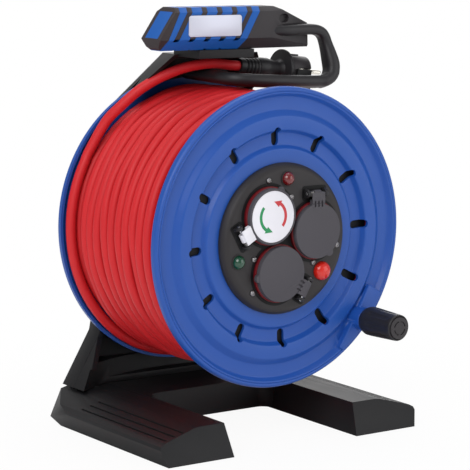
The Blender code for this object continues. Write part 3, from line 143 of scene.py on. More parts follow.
def moved(mesh, place):
    if place is not None:
        mesh.transform(place)
    return mesh


def meshOf(bm, name):
    mesh = bpy.data.meshes.new(name)
    bm.to_mesh(mesh)
    bm.free()
    return mesh


def revolve(profile, steps=96, place=None):
    # turns (radius, height) points about Z; the loop is closed unless it starts on the axis
    bm = bmesh.new()
    rings = []
    for i in range(steps):
        c, s = math.cos(2 * math.pi * i / steps), math.sin(2 * math.pi * i / steps)
        rings.append([bm.verts.new((r * c, r * s, h)) for r, h in profile])
    last = len(profile) - 1 if profile[0][0] < 1e-7 else len(profile)
    for i in range(steps):
        here, there = rings[i], rings[(i + 1) % steps]
        for j in range(last):
            k = (j + 1) % len(profile)
            bm.faces.new((here[j], there[j], there[k], here[k]))
    bmesh.ops.remove_doubles(bm, verts=bm.verts, dist=1e-7)
    bmesh.ops.recalc_face_normals(bm, faces=bm.faces)
    return moved(meshOf(bm, "turned"), place)


def sleeve(inner, outer, low, high, steps=96, place=None):
    return revolve([(inner, low), (outer, low), (outer, high), (inner, high)], steps, place)


def disc(radius, low, high, steps=96, place=None):
    return sleeve(0, radius, low, high, steps, place)


def alongX(low, high, radius, steps=48, edge=0.0003):
    profile = roundCorners([(0, low), (radius, low), (radius, high), (0, high)], edge, 3)
    return revolve(profile, steps, turned(90, "Y"))


def prism(outline, low, high, place=None, plane="XY"):
    # a flat outline pushed from low to high, in plane XY or XZ (along Y)
    bm = bmesh.new()
    ends = []
    for h in (low, high):
        places = [(a, b, h) if plane == "XY" else (a, h, b) for a, b in outline]
        ends.append([bm.verts.new(point) for point in places])
    bm.faces.new(ends[0][::-1])
    bm.faces.new(ends[1])
    for i in range(len(outline)):
        k = (i + 1) % len(outline)
        bm.faces.new((ends[0][i], ends[0][k], ends[1][k], ends[1][i]))
    bmesh.ops.recalc_face_normals(bm, faces=bm.faces)
    return moved(meshOf(bm, "prism"), place)


def boxMesh(low, high, place=None):
    outline = [(low[0], low[1]), (high[0], low[1]), (high[0], high[1]), (low[0], high[1])]
    return prism(outline, low[2], high[2], place)


# Pieces

def addObject(name, data):
    thing = bpy.data.objects.new(name, data)
    scene.collection.objects.link(thing)
    return thing


def newPiece(name, mesh, material):
    piece = addObject(name, mesh)
    mesh.materials.clear()
    if material is not None:
        mesh.materials.append(material)
    return piece


def takeMesh(piece):
    # keeps only the mesh of a piece
    mesh = piece.data
    bpy.data.objects.remove(piece)
    return mesh


def shownMesh(thing):
    bpy.context.view_layer.update()
    return bpy.data.meshes.new_from_object(thing.evaluated_get(bpy.context.evaluated_depsgraph_get()))


def bake(piece):
    # turns what the modifiers show into a plain mesh
    mesh = shownMesh(piece)
    piece.modifiers.clear()
    piece.data = mesh
    return piece


def carve(piece, mesh, operation="DIFFERENCE"):
    tool = newPiece("tool", mesh, None)
    material = piece.data.materials[0] if len(piece.data.materials) else None
    step = piece.modifiers.new("carve", "BOOLEAN")
    step.object = tool
    step.operation = operation
    step.solver = "EXACT"
    bake(piece)
    bpy.data.objects.remove(tool)
    piece.data.materials.clear()
    if material is not None:
        piece.data.materials.append(material)
    return piece


def tidyFaces(piece, flat=0.5, near=2e-5):
    # welds a mesh and joins the triangles of each flat face
    bm = bmesh.new()
    bm.from_mesh(piece.data)
    bmesh.ops.remove_doubles(bm, verts=bm.verts, dist=near)
    bmesh.ops.dissolve_degenerate(bm, dist=near, edges=bm.edges)
    bmesh.ops.dissolve_limit(bm, angle_limit=math.radians(flat), verts=bm.verts, edges=bm.edges)
    for face in bm.faces:
        face.material_index = 0
    bm.to_mesh(piece.data)
    bm.free()
    return piece


def soften(piece, width, segments=3, angle=32):
    step = piece.modifiers.new("edge", "BEVEL")
    step.width = width
    step.segments = segments
    step.limit_method = "ANGLE"
    step.angle_limit = math.radians(angle)
    step.use_clamp_overlap = True
    step.harden_normals = True
    piece.data.shade_smooth()
    return bake(piece)


def seat(piece, body, nodes=()):
    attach(piece, body)
    if nodes:
        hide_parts(*nodes)
    return piece


def put(piece, place, body, nodes, angle=38):
    # brings a piece to its place, smooths it up to the angle and seats it on its body
    moved(piece.data, place)
    piece.data.shade_smooth()
    piece.data.set_sharp_from_angle(angle=math.radians(angle))
    return seat(piece, body, nodes)


def copyOf(nodeName, pieceName, material):
    return tidyFaces(newPiece(pieceName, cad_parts[nodeName].data.copy(), material))


# Node trees

class Wire:
    # a socket of a node tree, to reckon with as with a plain number
    def __init__(self, tree, socket):
        self.tree = tree
        self.socket = socket

    def calc(self, operation, *values):
        inputs = dict(enumerate(values or [self]))
        return Wire(self.tree, addNode(self.tree, "ShaderNodeMath", inputs, operation=operation).outputs[0])

    def __add__(self, other):
        return self.calc("ADD", self, other)

    def __sub__(self, other):
        return self.calc("SUBTRACT", self, other)

    def __rsub__(self, other):
        return self.calc("SUBTRACT", other, self)

    def __mul__(self, other):
        return self.calc("MULTIPLY", self, other)

    def __truediv__(self, other):
        return self.calc("DIVIDE", self, other)

    def __rtruediv__(self, other):
        return self.calc("DIVIDE", other, self)

    def atMost(self, other):
        return self.calc("MINIMUM", self, other)

    def atLeast(self, other):
        return self.calc("MAXIMUM", self, other)

    def eased(self):
        # 3v2 - 2v3 of a value clamped to 0..1
        held = self.atLeast(0.0).atMost(1.0)
        return held * held * (3.0 - held * 2.0)


def feed(tree, socket, value):
    if isinstance(value, Wire):
        value = value.socket
    if isinstance(value, bpy.types.NodeSocket):
        tree.links.new(value, socket)
    else:
        socket.default_value = value


def addNode(tree, kind, inputs=None, **settings):
    node = tree.nodes.new(kind)
    for name, value in settings.items():
        setattr(node, name, value)
    for name, value in (inputs or {}).items():
        feed(tree, node.inputs[name], value)
    return node


def startTree(kind, name, inputs, outputs):
    # inputs and outputs: titles of sockets under their kind
    tree = bpy.data.node_groups.new(name, kind)
    for way, sockets in (("INPUT", inputs), ("OUTPUT", outputs)):
        for socketKind, titles in sockets.items():
            for title in titles:
                tree.interface.new_socket(title, in_out=way, socket_type="NodeSocket" + socketKind)
    given = {socket.name: Wire(tree, socket) for socket in tree.nodes.new("NodeGroupInput").outputs}
    return tree, given, tree.nodes.new("NodeGroupOutput").inputs


def startShape(name, inputs):
    inputs = dict(inputs, Material=["Material"])
    return startTree("GeometryNodeTree", name, inputs, {"Geometry": ["Geometry"]})


def endShape(tree, geometry, given, output):
    # the export drops instances, so they are made real
    real = addNode(tree, "GeometryNodeRealizeInstances", {"Geometry": geometry})
    inputs = {"Geometry": real.outputs["Geometry"], "Material": given["Material"]}
    feed(tree, output["Geometry"], addNode(tree, "GeometryNodeSetMaterial", inputs).outputs["Geometry"])
    return tree


def indexOf(tree):
    return Wire(tree, addNode(tree, "GeometryNodeInputIndex").outputs[0])


def placeOf(tree, *values):
    return addNode(tree, "ShaderNodeCombineXYZ", dict(enumerate(values))).outputs[0]


def movedPoints(tree, geometry, place):
    inputs = {"Geometry": geometry, "Position": place}
    return addNode(tree, "GeometryNodeSetPosition", inputs).outputs["Geometry"]


def tubeAlong(tree, curve, radius, sides):
    ring = addNode(tree, "GeometryNodeCurvePrimitiveCircle", {"Resolution": sides, "Radius": radius})
    inputs = {"Curve": curve, "Profile Curve": ring.outputs["Curve"], "Fill Caps": True}
    return addNode(tree, "GeometryNodeCurveToMesh", inputs).outputs["Mesh"]


def itemsOn(tree, points, item, **turn):
    source = addNode(tree, "GeometryNodeObjectInfo", {"Object": item})
    inputs = {"Points": points, "Instance": source.outputs["Geometry"], **turn}
    return addNode(tree, "GeometryNodeInstanceOnPoints", inputs).outputs["Instances"]


def makeWindTree():
    tree, given, output = startShape("windTurns", {
        "Float": [
            "Turns", "Pitch", "First Lane", "Last Lane", "Radius", "Last Radius", "Start Dip", "Start Angle",
            "Cable Radius", "Wander", "Lift", "Seed",
        ],
        "Int": ["Steps A Turn", "Sides"],
    })
    dipShare, calmShare = 0.12, 0.4  # of the first turn
    crossShare, riseStart, riseShare = 0.62, 0.22, 0.30  # of the last turn
    noiseRadius, noiseStep = 1.3, 0.83  # how unlike neighbours are along a turn, and from turn to turn
    line = addNode(tree, "GeometryNodeMeshLine", {"Count": given["Turns"] * given["Steps A Turn"] + 1.0})
    curve = addNode(tree, "GeometryNodeMeshToCurve", {"Mesh": line.outputs["Mesh"]})
    turn = indexOf(tree) / given["Steps A Turn"]
    angle = given["Start Angle"] - turn * (2 * math.pi)
    whole = given["Turns"] - 1.0
    along = turn - whole
    lane = given["First Lane"] - given["Pitch"] * turn.atMost(whole)
    crossed = (along / crossShare).eased()  # the last turn crosses to the rear
    lane = lane + (given["Last Lane"] - lane) * crossed
    grown = (given["Last Radius"] - given["Radius"]) * ((along - riseStart) / riseShare).eased()
    dip = given["Start Dip"] * (1.0 - (turn / dipShare).eased())
    cosine, sine = angle.calc("COSINE"), angle.calc("SINE")
    # a slow noise moves neighbouring turns unlike each other; it dies out at both ends
    where = placeOf(tree, cosine * noiseRadius, sine * noiseRadius, turn * noiseStep + given["Seed"])
    noise = addNode(tree, "ShaderNodeTexNoise", {"Vector": where, "Scale": 1.0, "Detail": 1.0})
    split = addNode(tree, "ShaderNodeSeparateXYZ", {0: noise.outputs["Color"]})
    calm = (turn / calmShare).eased() * (1.0 - crossed)
    side = (Wire(tree, split.outputs[0]) - 0.5) * given["Wander"]
    lift = (Wire(tree, split.outputs[1]) - 0.7).atMost(0.0) * given["Lift"]  # inwards only
    radius = given["Radius"] + grown - dip + lift * calm
    point = placeOf(tree, radius * cosine, radius * sine, lane + side * calm)
    route = movedPoints(tree, curve.outputs["Curve"], point)
    tube = tubeAlong(tree, route, given["Cable Radius"], given["Sides"])
    return endShape(tree, tube, given, output)


def makeRowTree():
    inputs = {"Object": ["Item"], "Int": ["Count"], "Vector": ["Start", "Step"]}
    tree, given, output = startShape("rowOfItems", inputs)
    line = addNode(tree, "GeometryNodeMeshLine", {
        "Count": given["Count"], "Start Location": given["Start"], "Offset": given["Step"],
    })
    return endShape(tree, itemsOn(tree, line.outputs["Mesh"], given["Item"]), given, output)


def makeRingTree():
    inputs = {"Object": ["Item"], "Int": ["Count"], "Float": ["Radius", "Start Angle"]}
    tree, given, output = startShape("ringOfItems", inputs)
    line = addNode(tree, "GeometryNodeMeshLine", {"Count": given["Count"], "Offset": (0, 0, 0)})
    angle = given["Start Angle"] + indexOf(tree) * (2 * math.pi / given["Count"])
    place = placeOf(tree, given["Radius"] * angle.calc("COSINE"), given["Radius"] * angle.calc("SINE"))
    points = movedPoints(tree, line.outputs["Mesh"], place)
    turn = addNode(tree, "FunctionNodeEulerToRotation", {0: placeOf(tree, 0.0, 0.0, angle)})
    items = itemsOn(tree, points, given["Item"], Rotation=turn.outputs[0])
    return endShape(tree, items, given, output)


def makeCoilTree():
    inputs = {"Float": ["Turns", "Radius", "Height", "Wire Radius"], "Int": ["Steps A Turn", "Sides"]}
    tree, given, output = startShape("coil", inputs)
    spiral = addNode(tree, "GeometryNodeCurveSpiral", {
        "Resolution": given["Steps A Turn"], "Rotations": given["Turns"], "Start Radius": given["Radius"],
        "End Radius": given["Radius"], "Height": given["Height"],
    })
    wire = tubeAlong(tree, spiral.outputs["Curve"], given["Wire Radius"], given["Sides"])
    return endShape(tree, wire, given, output)


windTree, rowTree, ringTree, coilTree = makeWindTree(), makeRowTree(), makeRingTree(), makeCoilTree()


def grow(name, tree, values, material, place=None):
    # a piece from a Geometry Nodes tree, as a plain mesh
    piece = newPiece(name, bpy.data.meshes.new(name), material)
    step = piece.modifiers.new(name, "NODES")
    step.node_group = tree
    values = dict(values, Material=material)
    for socket in tree.interface.items_tree:
        if socket.in_out == "INPUT" and values.get(socket.name) is not None:
            step[socket.identifier] = values[socket.name]
    moved(bake(piece).data, place)
    return piece


def growMesh(tree, values, itemMesh, material=None, place=None):
    # copies of one mesh, laid out by a tree
    item = newPiece("item", itemMesh, None)
    mesh = takeMesh(grow("copies", tree, dict(values, Item=item), material, place))
    bpy.data.objects.remove(item)
    return mesh


# Finishes

def noiseIn(tree, vector, scale, detail, rough=0.5):
    inputs = {"Vector": vector, "Scale": scale, "Detail": detail, "Roughness": rough}
    return Wire(tree, addNode(tree, "ShaderNodeTexNoise", inputs).outputs["Fac"])


def makeGrainGroup():
    # fine spark-eroded texture of a mould, with patches that are a little shinier
    inputs = {"Vector": ["Vector"], "Float": ["Grain Scale", "Roughness", "Patchiness"]}
    outputs = {"Float": ["Height", "Roughness"]}
    tree, given, output = startTree("ShaderNodeTree", "mouldGrain", inputs, outputs)
    fine = noiseIn(tree, given["Vector"], given["Grain Scale"], 3.0, 0.6)
    patch = noiseIn(tree, given["Vector"], 22.0, 3.0)
    swing = (patch - 0.5) * given["Patchiness"] + (fine - 0.5) * 0.12
    feed(tree, output["Height"], fine)
    feed(tree, output["Roughness"], given["Roughness"] + swing)
    return tree


def makeTintGroup():
    # slow drift between two close shades of one plastic
    inputs = {"Vector": ["Vector"], "Color": ["Colour", "Second"], "Float": ["Scale"]}
    tree, given, output = startTree("ShaderNodeTree", "shadeDrift", inputs, {"Color": ["Colour"]})
    drift = noiseIn(tree, given["Vector"], given["Scale"], 2.0)
    shades = {"Factor": drift, 6: given["Colour"], 7: given["Second"]}  # 6 and 7 are the node's two colours
    feed(tree, output["Colour"], addNode(tree, "ShaderNodeMix", shades, data_type="RGBA").outputs[2])
    return tree


grainGroup, tintGroup = makeGrainGroup(), makeTintGroup()
plainFinish = {
    "drift": 14.0, "grain": 900.0, "patches": 0.10, "depth": 0.00008, "relief": 0.35, "metal": 0.0,
    "coat": 0.0, "coatRoughness": 0.15, "gloss": 0.5,
}
finishes = {
    "standBlack": {
        "colour": (0.010, 0.010, 0.0115), "roughness": 0.50, "grain": 1100, "relief": 0.45, "gloss": 0.32,
    },
    "handleBlack": {
        "colour": (0.020, 0.019, 0.022), "roughness": 0.45, "grain": 1400, "relief": 0.3, "gloss": 0.4,
    },
    "gripGrey": {"colour": (0.034, 0.030, 0.034), "roughness": 0.50, "grain": 1300, "gloss": 0.4},
    "ribGrey": {
        "colour": (0.040, 0.031, 0.034), "roughness": 0.62, "grain": 700, "relief": 0.5, "gloss": 0.35,
    },
    "plateGrey": {
        "colour": (0.026, 0.023, 0.025), "roughness": 0.52, "grain": 1200, "relief": 0.4, "gloss": 0.4,
    },
    # black plastic and painted shade: the near-black of the socket ground and the painted shade behind the
    # flange slots
    "blackAndPaintedShade": {
        "colour": (0.005, 0.005, 0.006), "roughness": 0.55, "grain": 1200, "relief": 0.3, "gloss": 0.25,
    },
    "lidGrey": {
        "colour": (0.074, 0.069, 0.082), "roughness": 0.55, "grain": 1000, "relief": 0.5, "gloss": 0.35,
    },
    "drumBlue": {
        "colour": (0.015, 0.088, 0.41), "second": (0.012, 0.080, 0.38), "roughness": 0.37, "grain": 800,
        "relief": 0.1, "gloss": 0.42,
    },
    "softBlue": {
        "colour": (0.006, 0.110, 0.46), "roughness": 0.55, "grain": 600, "relief": 0.5, "gloss": 0.35,
    },
    "cableRed": {
        "colour": (0.70, 0.020, 0.026), "second": (0.60, 0.014, 0.020), "roughness": 0.50, "grain": 420,
        "depth": 0.00012, "relief": 0.25, "drift": 9.0, "gloss": 0.35,
    },
    "lidWhite": {
        "colour": (0.86, 0.85, 0.91), "second": (0.83, 0.82, 0.88), "roughness": 0.38, "relief": 0.08,
        "gloss": 0.4,
    },
    "namePlate": {
        "colour": (0.70, 0.71, 0.82), "second": (0.64, 0.66, 0.77), "roughness": 0.34, "relief": 0.12,
        "metal": 0.25,
    },
    "buttonRed": {
        "colour": (0.72, 0.018, 0.010), "roughness": 0.24, "relief": 0.03, "coat": 0.4, "coatRoughness": 0.12,
    },
    "sealRed": {"colour": (0.16, 0.004, 0.009), "roughness": 0.45, "relief": 0.2, "gloss": 0.3},
    "lampRed": {
        "colour": (0.17, 0.008, 0.010), "roughness": 0.18, "relief": 0.02, "coat": 0.8, "coatRoughness": 0.06,
    },
    "lampGreen": {
        "colour": (0.002, 0.060, 0.028), "roughness": 0.18, "relief": 0.02, "coat": 0.8,
        "coatRoughness": 0.06,
    },
    "steel": {"colour": (0.50, 0.50, 0.52), "roughness": 0.28, "metal": 1.0, "relief": 0.05, "patches": 0.15},
    "screwSteel": {"colour": (0.36, 0.35, 0.36), "roughness": 0.34, "metal": 1.0, "relief": 0.05},
    "springSteel": {"colour": (0.22, 0.21, 0.21), "roughness": 0.30, "metal": 1.0, "relief": 0.05},
    "nickel": {"colour": (0.80, 0.77, 0.70), "roughness": 0.20, "metal": 1.0, "relief": 0.03},
    "insidePlastic": {"colour": (0.55, 0.55, 0.56), "roughness": 0.5},
    "inkGreen": {"colour": (0.012, 0.30, 0.10), "roughness": 0.45, "relief": 0.05},
    "inkRed": {"colour": (0.62, 0.035, 0.045), "roughness": 0.45, "relief": 0.05},
}


def makeFinish(name, changes):
    look = {**plainFinish, **changes}
    second = look.get("second", [part * 0.86 for part in look["colour"]])
    material = bpy.data.materials.new(name)
    material.use_nodes = True
    tree = material.node_tree
    shader = tree.nodes["Principled BSDF"]
    coords = addNode(tree, "ShaderNodeTexCoord").outputs["Object"]
    tint = addNode(tree, "ShaderNodeGroup", node_tree=tintGroup)
    grain = addNode(tree, "ShaderNodeGroup", node_tree=grainGroup)
    bump = addNode(tree, "ShaderNodeBump", {
        "Distance": look["depth"], "Strength": look["relief"], "Height": grain.outputs["Height"],
    })
    for node, values in (
        (tint, {
            "Vector": coords, "Colour": (*look["colour"], 1), "Second": (*second, 1), "Scale": look["drift"],
        }),
        (grain, {
            "Vector": coords, "Grain Scale": look["grain"], "Roughness": look["roughness"],
            "Patchiness": look["patches"],
        }),
        (shader, {
            "Base Color": tint.outputs["Colour"], "Roughness": grain.outputs["Roughness"],
            "Normal": bump.outputs["Normal"], "Metallic": look["metal"], "Coat Weight": look["coat"],
            "Coat Roughness": look["coatRoughness"], "Specular IOR Level": look["gloss"],
        }),
    ):
        for title, value in values.items():
            feed(tree, node.inputs[title], value)
    return material


paint = {name: makeFinish(name, look) for name, look in finishes.items()}
print("finishes made:", len(paint))


# Flanges

flangeLook = {
    "wall": 0.003, "ringFace": 0.084, "dishFace": 0.0805, "grooveFace": 0.0795, "holeRadius": 0.058,
    "slotCount": 12, "slotLength": 0.018, "slotWidth": 0.008, "slotRing": 0.098, "slotTurn": 3.5,
    "slotCut": (0.066, 0.100), "shadePast": 0.0035, "shadeWall": 0.0004,
    "padTurn": -31, "padChord": 0.1224, "padLow": -0.060, "padHigh": 0.010, "padRadius": 0.141,
    "bossRadius": 0.011, "bossHeight": 0.010, "knobRing": 0.133, "knobAngle": -41.1, "pinRadius": 0.004,
    "edge": 0.0012,
}
knobPlace = at(*polar(flangeLook["knobRing"], flangeLook["knobAngle"]))


def makeFlange(name, outline, place, node, shadeName, shadeFace, extra=None):
    # a turned skin with its slots, and behind them a thin dark ring of painted shade, so the slots read dark
    look = flangeLook
    flange = newPiece(name, revolve(outline, drumLook["flangeSteps"]), paint["drumBlue"])
    if extra is not None:
        extra(flange)
    slot = prism(obround(look["slotLength"], look["slotWidth"]), *look["slotCut"])
    ring = {
        "Count": look["slotCount"], "Radius": look["slotRing"], "Start Angle": math.radians(look["slotTurn"]),
    }
    carve(flange, growMesh(ringTree, ring, slot))
    put(flange, place, "drum", [node], 30)
    # painted shade: a thin near-black sheet behind the slots hides the red turns seen through them
    wide = look["slotLength"] / 2 + look["shadePast"]
    low, high = look["slotRing"] - wide, look["slotRing"] + wide
    shadeSheet = sleeve(low, high, shadeFace - look["shadeWall"], shadeFace)
    put(newPiece(shadeName, shadeSheet, paint["blackAndPaintedShade"]), place, "drum", (), 30)


def addCrankPad(flange):
    # the flat pad on the rim and the boss with the bore for the crank's pin
    look = flangeLook
    rim, face = drumLook["radius"], drumLook["width"] / 2
    floor = look["dishFace"] - look["wall"] + 0.0001
    low, high = (look["padChord"], look["padLow"], floor), (rim, look["padHigh"], face + 0.001)
    pad = newPiece("pad", boxMesh(low, high, turned(look["padTurn"])), None)
    carve(pad, disc(look["padRadius"], 0, far, 192), "INTERSECT")
    carve(flange, takeMesh(soften(tidyFaces(pad, 0.2), look["edge"], 4)), "UNION")
    foot, top = floor + 0.001, face + look["bossHeight"]
    line = [(0, foot), (look["bossRadius"] + 0.0012, foot), (look["bossRadius"], top), (0, top)]
    carve(flange, revolve(roundCorners(line, look["edge"]), 64, knobPlace), "UNION")
    carve(flange, disc(look["pinRadius"] + fitGap, floor + 0.003, far, 32, knobPlace))


def makeFlanges():
    look = flangeLook
    rim, face = drumLook["radius"], drumLook["width"] / 2
    ring, dish, groove = look["ringFace"], look["dishFace"], look["grooveFace"]
    inner = [
        (look["holeRadius"], ring), (0.086, ring), (0.089, groove), (0.101, groove), (0.104, face - 0.0005),
        (0.117, face - 0.0005), (0.123, dish), (rim - 0.0095, dish), (rim - 0.0064, face - 0.0003),
    ]
    bead = [(rim - 0.0050, face - 0.0002), (rim - 0.0045, face - 0.0010), (rim - 0.0040, face - 0.0002)]
    end = [(rim - 0.0018, face), (rim, face - 0.0024), (rim, face - 0.0070)]
    front = skinOutline(inner + bead + end, inner + end, look["wall"], look["edge"])
    shadeSheet = groove - look["wall"] - 0.0004
    makeFlange("frontFlange", front, drumPlace, "front_flange", "slotLinerFront", shadeSheet, addCrankPad)
    line = [
        (0.024, ring), (0.070, ring), (0.078, face), (rim - 0.0020, face), (rim, face - 0.0020),
        (rim, face - 0.0070),
    ]
    rear = skinOutline(line, line, look["wall"], look["edge"])
    shadeSheet = face - look["wall"] - 0.0006
    makeFlange("rearFlange", rear, drumPlace @ turned(180, "X"), "rear_flange", "slotLinerRear", shadeSheet)


makeFlanges()
print("flanges made")


# Cable on the drum

cableLook = {
    "radius": 0.00505, "firstLane": 0.070, "leadAngle": 152, "lap": 0.6, "underEnd": 20, "coreBore": 0.0623,
    "coreRadius": 0.1175, "coreLow": -0.0800, "coreHigh": 0.0752,
}
outerTurns = {
    "Turns": 11.375, "Steps A Turn": 96, "Pitch": 0.0122, "Last Lane": -0.0736, "Radius": 0.133,
    "Last Radius": 0.1367, "Start Dip": 0.009, "Wander": 0.0090, "Lift": 0.0075, "Seed": 3.0, "Sides": 20,
}
underTurns = {
    "Turns": 14.0, "Steps A Turn": 64, "Pitch": 0.01035, "Last Lane": -0.0740, "Radius": 0.1218,
    "Last Radius": 0.1262, "Start Dip": 0.0, "Wander": 0.0004, "Lift": 0.0008, "Seed": 11.0, "Sides": 14,
}


def makeTurns(name, turns, startDegrees, node):
    values = dict(turns)
    values["Start Angle"] = math.radians(startDegrees)
    values["First Lane"] = cableLook["firstLane"]
    values["Cable Radius"] = cableLook["radius"]
    winding = grow(name, windTree, values, paint["cableRed"], drumPlace)
    put(winding, None, "drum", [node], 50)


def makeWinding():
    # the outer layer runs a little into the lead, which goes on from its last turn
    look = cableLook
    outerStart = look["leadAngle"] - look["lap"] + 360 * outerTurns["Turns"]
    makeTurns("cableWinding", outerTurns, outerStart, "cable_winding")
    makeTurns("cableUnderLayer", underTurns, look["underEnd"], "cable_inner_layers")
    core = sleeve(look["coreBore"], look["coreRadius"], look["coreLow"], look["coreHigh"])
    put(newPiece("cableInnerTurns", core, paint["cableRed"]), drumPlace, "drum", (), 30)


makeWinding()
print("winding made")


# Socket plate

plateLook = {
    "radius": 0.073, "face": 0.0935, "rise": 0.0092, "wall": 0.003, "cut": (0.05, 0.12),
    "insetRise": 0.00025, "insetCore": 0.030, "insetRadius": 0.0312, "insetHingeHalf": (0.0145, 0.0072),
    "screwRadius": 0.0028, "screwHeight": 0.0019,
    "screwRings": {"rim": (0.062, 111), "inner": (0.041, 83)},
    "lampRing": 0.0585, "lampRadius": 0.0065, "lamps": {"Red": 90, "Green": 197},
    "buttonRing": 0.055, "buttonAngle": -37.8, "buttonRadius": 0.0092,
}
socketLook = {
    "ring": 0.033, "turn": 12, "body": 0.0225, "recessRadius": 0.0198, "recessDepth": 0.0175,
    "collarRadius": 0.028, "collarHeight": 0.003, "depth": 0.040, "contactSpacing": 0.019,
    "contactRadius": 0.0026, "clipHalf": 0.0024, "clipHeight": 0.0125,
}
hingeLook = {
    "turn": 78, "reach": 0.036, "height": 0.0975, "earInner": 0.009, "earOuter": 0.012, "earRadius": 0.0034,
    "pinRadius": 0.0014, "pinPast": 0.0006, "springStart": 0.0047,
    "spring": {
        "Turns": 4.0, "Steps A Turn": 28, "Radius": 0.0025, "Height": 0.0036, "Wire Radius": 0.00042,
        "Sides": 10,
    },
}
sockets = range(3)
buttonPlace = at(*polar(plateLook["buttonRing"], plateLook["buttonAngle"]))


def hingeAngle(index):
    return socketLook["turn"] + 120 * index + hingeLook["turn"]


def socketCentre(index):
    return polar(socketLook["ring"], socketLook["turn"] + 120 * index)


def hingePlace(index):
    cx, cy = socketCentre(index)
    hx, hy = polar(hingeLook["reach"], hingeAngle(index))
    return drumPlace @ at(cx + hx, cy + hy, hingeLook["height"]) @ turned(hingeAngle(index) + 90)


def cutSockets(piece, gap):
    for index in sockets:
        carve(piece, disc(socketLook["body"] + gap, *plateLook["cut"], 64, at(*socketCentre(index))))


def makeSocketPlate():
    look = plateLook
    face, rim, wall = look["face"], look["radius"], look["wall"]
    line = roundCorners([
        (0, face), (rim - 0.0062, face), (rim - 0.0025, face - 0.0020), (rim, face - 0.0065),
        (rim, face - look["rise"]),
    ], 0.0030, 6)
    inner = [(max(0, r - wall), h - (wall if h > face - 0.004 else 0)) for r, h in line]
    outline = line + inner[::-1][:-1] + [(0, face - wall)]
    plate = newPiece("socketPlate", revolve(outline, 144), paint["plateGrey"])
    cutSockets(plate, fitGap)
    carve(plate, disc(look["buttonRadius"] + 0.0003, *look["cut"], 48, buttonPlace))
    put(plate, drumPlace, "drum", ["socket_plate"], 34)


def makeInset():
    # the darker ground round the sockets and their hinges: black plastic, with the shade that gathers there
    # painted into its near-black colour
    look, height = plateLook, hingeLook["height"]
    low, high = look["face"] - 0.0005, look["face"] + look["insetRise"]
    foot = roundedBox(*look["insetHingeHalf"], 0.003)
    inset = newPiece("plateInset", disc(look["insetCore"], low, high), paint["blackAndPaintedShade"])
    for index in sockets:
        carve(inset, disc(look["insetRadius"], low, high, 96, at(*socketCentre(index))), "UNION")
        place = drumPlace.inverted() @ hingePlace(index)
        carve(inset, prism(foot, low - height, high - height, place), "UNION")
    cutSockets(inset, 0.0003)
    put(inset, drumPlace, "drum", (), 34)


def makeHinge(index):
    look, place = hingeLook, hingePlace(index)
    floor = plateLook["face"] - look["height"] - 0.0004
    outline = [(-0.0046, floor), (0.0046, floor), (0.0040, 0.0)]
    outline += arcPoints((0, 0), look["earRadius"], 15, 165, 12) + [(-0.0040, 0.0)]
    across = Matrix(((0, 0, 1, 0), (1, 0, 0, 0), (0, 1, 0, 0), (0, 0, 0, 1)))
    bm = bmesh.new()
    for side in (-1, 1):
        low, high = sorted((side * look["earInner"], side * look["earOuter"]))
        bm.from_mesh(prism(outline, low, high, across))
    ears = newPiece(f"hingeEars{index + 1}", meshOf(bm, "ears"), paint["handleBlack"])
    put(soften(ears, 0.0004, 3), place, "drum", ())
    reach = look["earOuter"] + look["pinPast"]
    pin = newPiece(f"hingePin{index + 1}", alongX(-reach, reach, look["pinRadius"]), paint["steel"])
    put(pin, place, "drum", [f"hinge_pin_{index + 1}"])
    spring = grow(f"lidSpring{index + 1}", coilTree, look["spring"], paint["springSteel"])
    place = place @ at(look["springStart"], 0) @ turned(90, "Y")
    put(spring, place, "drum", [f"lid_spring_{index + 1}"], 60)


def makeSocket(index):
    look, face = socketLook, plateLook["face"] + 0.0003
    top, floor = face + look["collarHeight"], plateLook["face"] - look["depth"]
    body, collar, recess = look["body"], look["collarRadius"], look["recessRadius"]
    low = top - look["recessDepth"]
    place = drumPlace @ at(*socketCentre(index))
    socket = newPiece(f"socket{index + 1}", revolve([
        (0, floor), (body, floor), (body, face), (collar, face), (collar, top - 0.0004),
        (collar - 0.0006, top), (recess + 0.0022, top), (recess + 0.0018, top - 0.0006),
        (recess + 0.0006, top - 0.0006), (recess, top - 0.0012), (recess, low), (0, low),
    ]), paint["sealRed"])
    for side in (-1, 1):
        contact = at(*polar(side * look["contactSpacing"] / 2, hingeAngle(index) + 90))
        carve(socket, disc(look["contactRadius"], floor + 0.004, plateLook["face"], 24, contact))
    put(socket, place, "drum", [f"socket_{index + 1}"], 34)
    # the earth clips at the two sides of the recess
    half, high = look["clipHalf"], low + look["clipHeight"]
    outline = [
        (-half, low), (half, low), (half, high - 0.0025), (half / 2, high), (-half / 2, high),
        (-half, high - 0.0025),
    ]
    clips = bmesh.new()
    for side in (-1, 1):
        turn = turned(hingeAngle(index) + 90 + side * 90 - 90)
        clips.from_mesh(prism(outline, recess - 0.0013, recess - 0.0005, turn, "XZ"))
    earth = newPiece(f"earthClips{index + 1}", meshOf(clips, "clips"), paint["nickel"])
    put(earth, place, "drum", ())


def screwMesh(radius, height):
    dome = [(0, 0), (radius, 0)]
    for degrees in range(10, 90, 16):
        out, up = polar(1.0, degrees)
        dome.append((radius * out ** 0.6, height * up))
    screw = newPiece("screw", revolve(dome + [(0, height)], 32), paint["screwSteel"])
    arm, reach = radius * 0.16, radius * 0.58
    for a, b in ((arm, reach), (reach, arm)):
        carve(screw, boxMesh((-a, -b, height * 0.45), (a, b, height * 2)))
    return takeMesh(screw)


def makePlateScrews():
    look = plateLook
    place = drumPlace @ at(0, 0, look["face"] + fitGap)
    for title, (radius, degrees) in look["screwRings"].items():
        item = screwMesh(look["screwRadius"], look["screwHeight"])
        ring = {"Count": 3, "Radius": radius, "Start Angle": math.radians(degrees)}
        mesh = growMesh(ringTree, ring, item, paint["screwSteel"], place)
        nodes = [f"{title}_screw_{i}" for i in (1, 2, 3)]
        put(newPiece(f"{title}Screws", mesh, paint["screwSteel"]), None, "drum", nodes, 34)


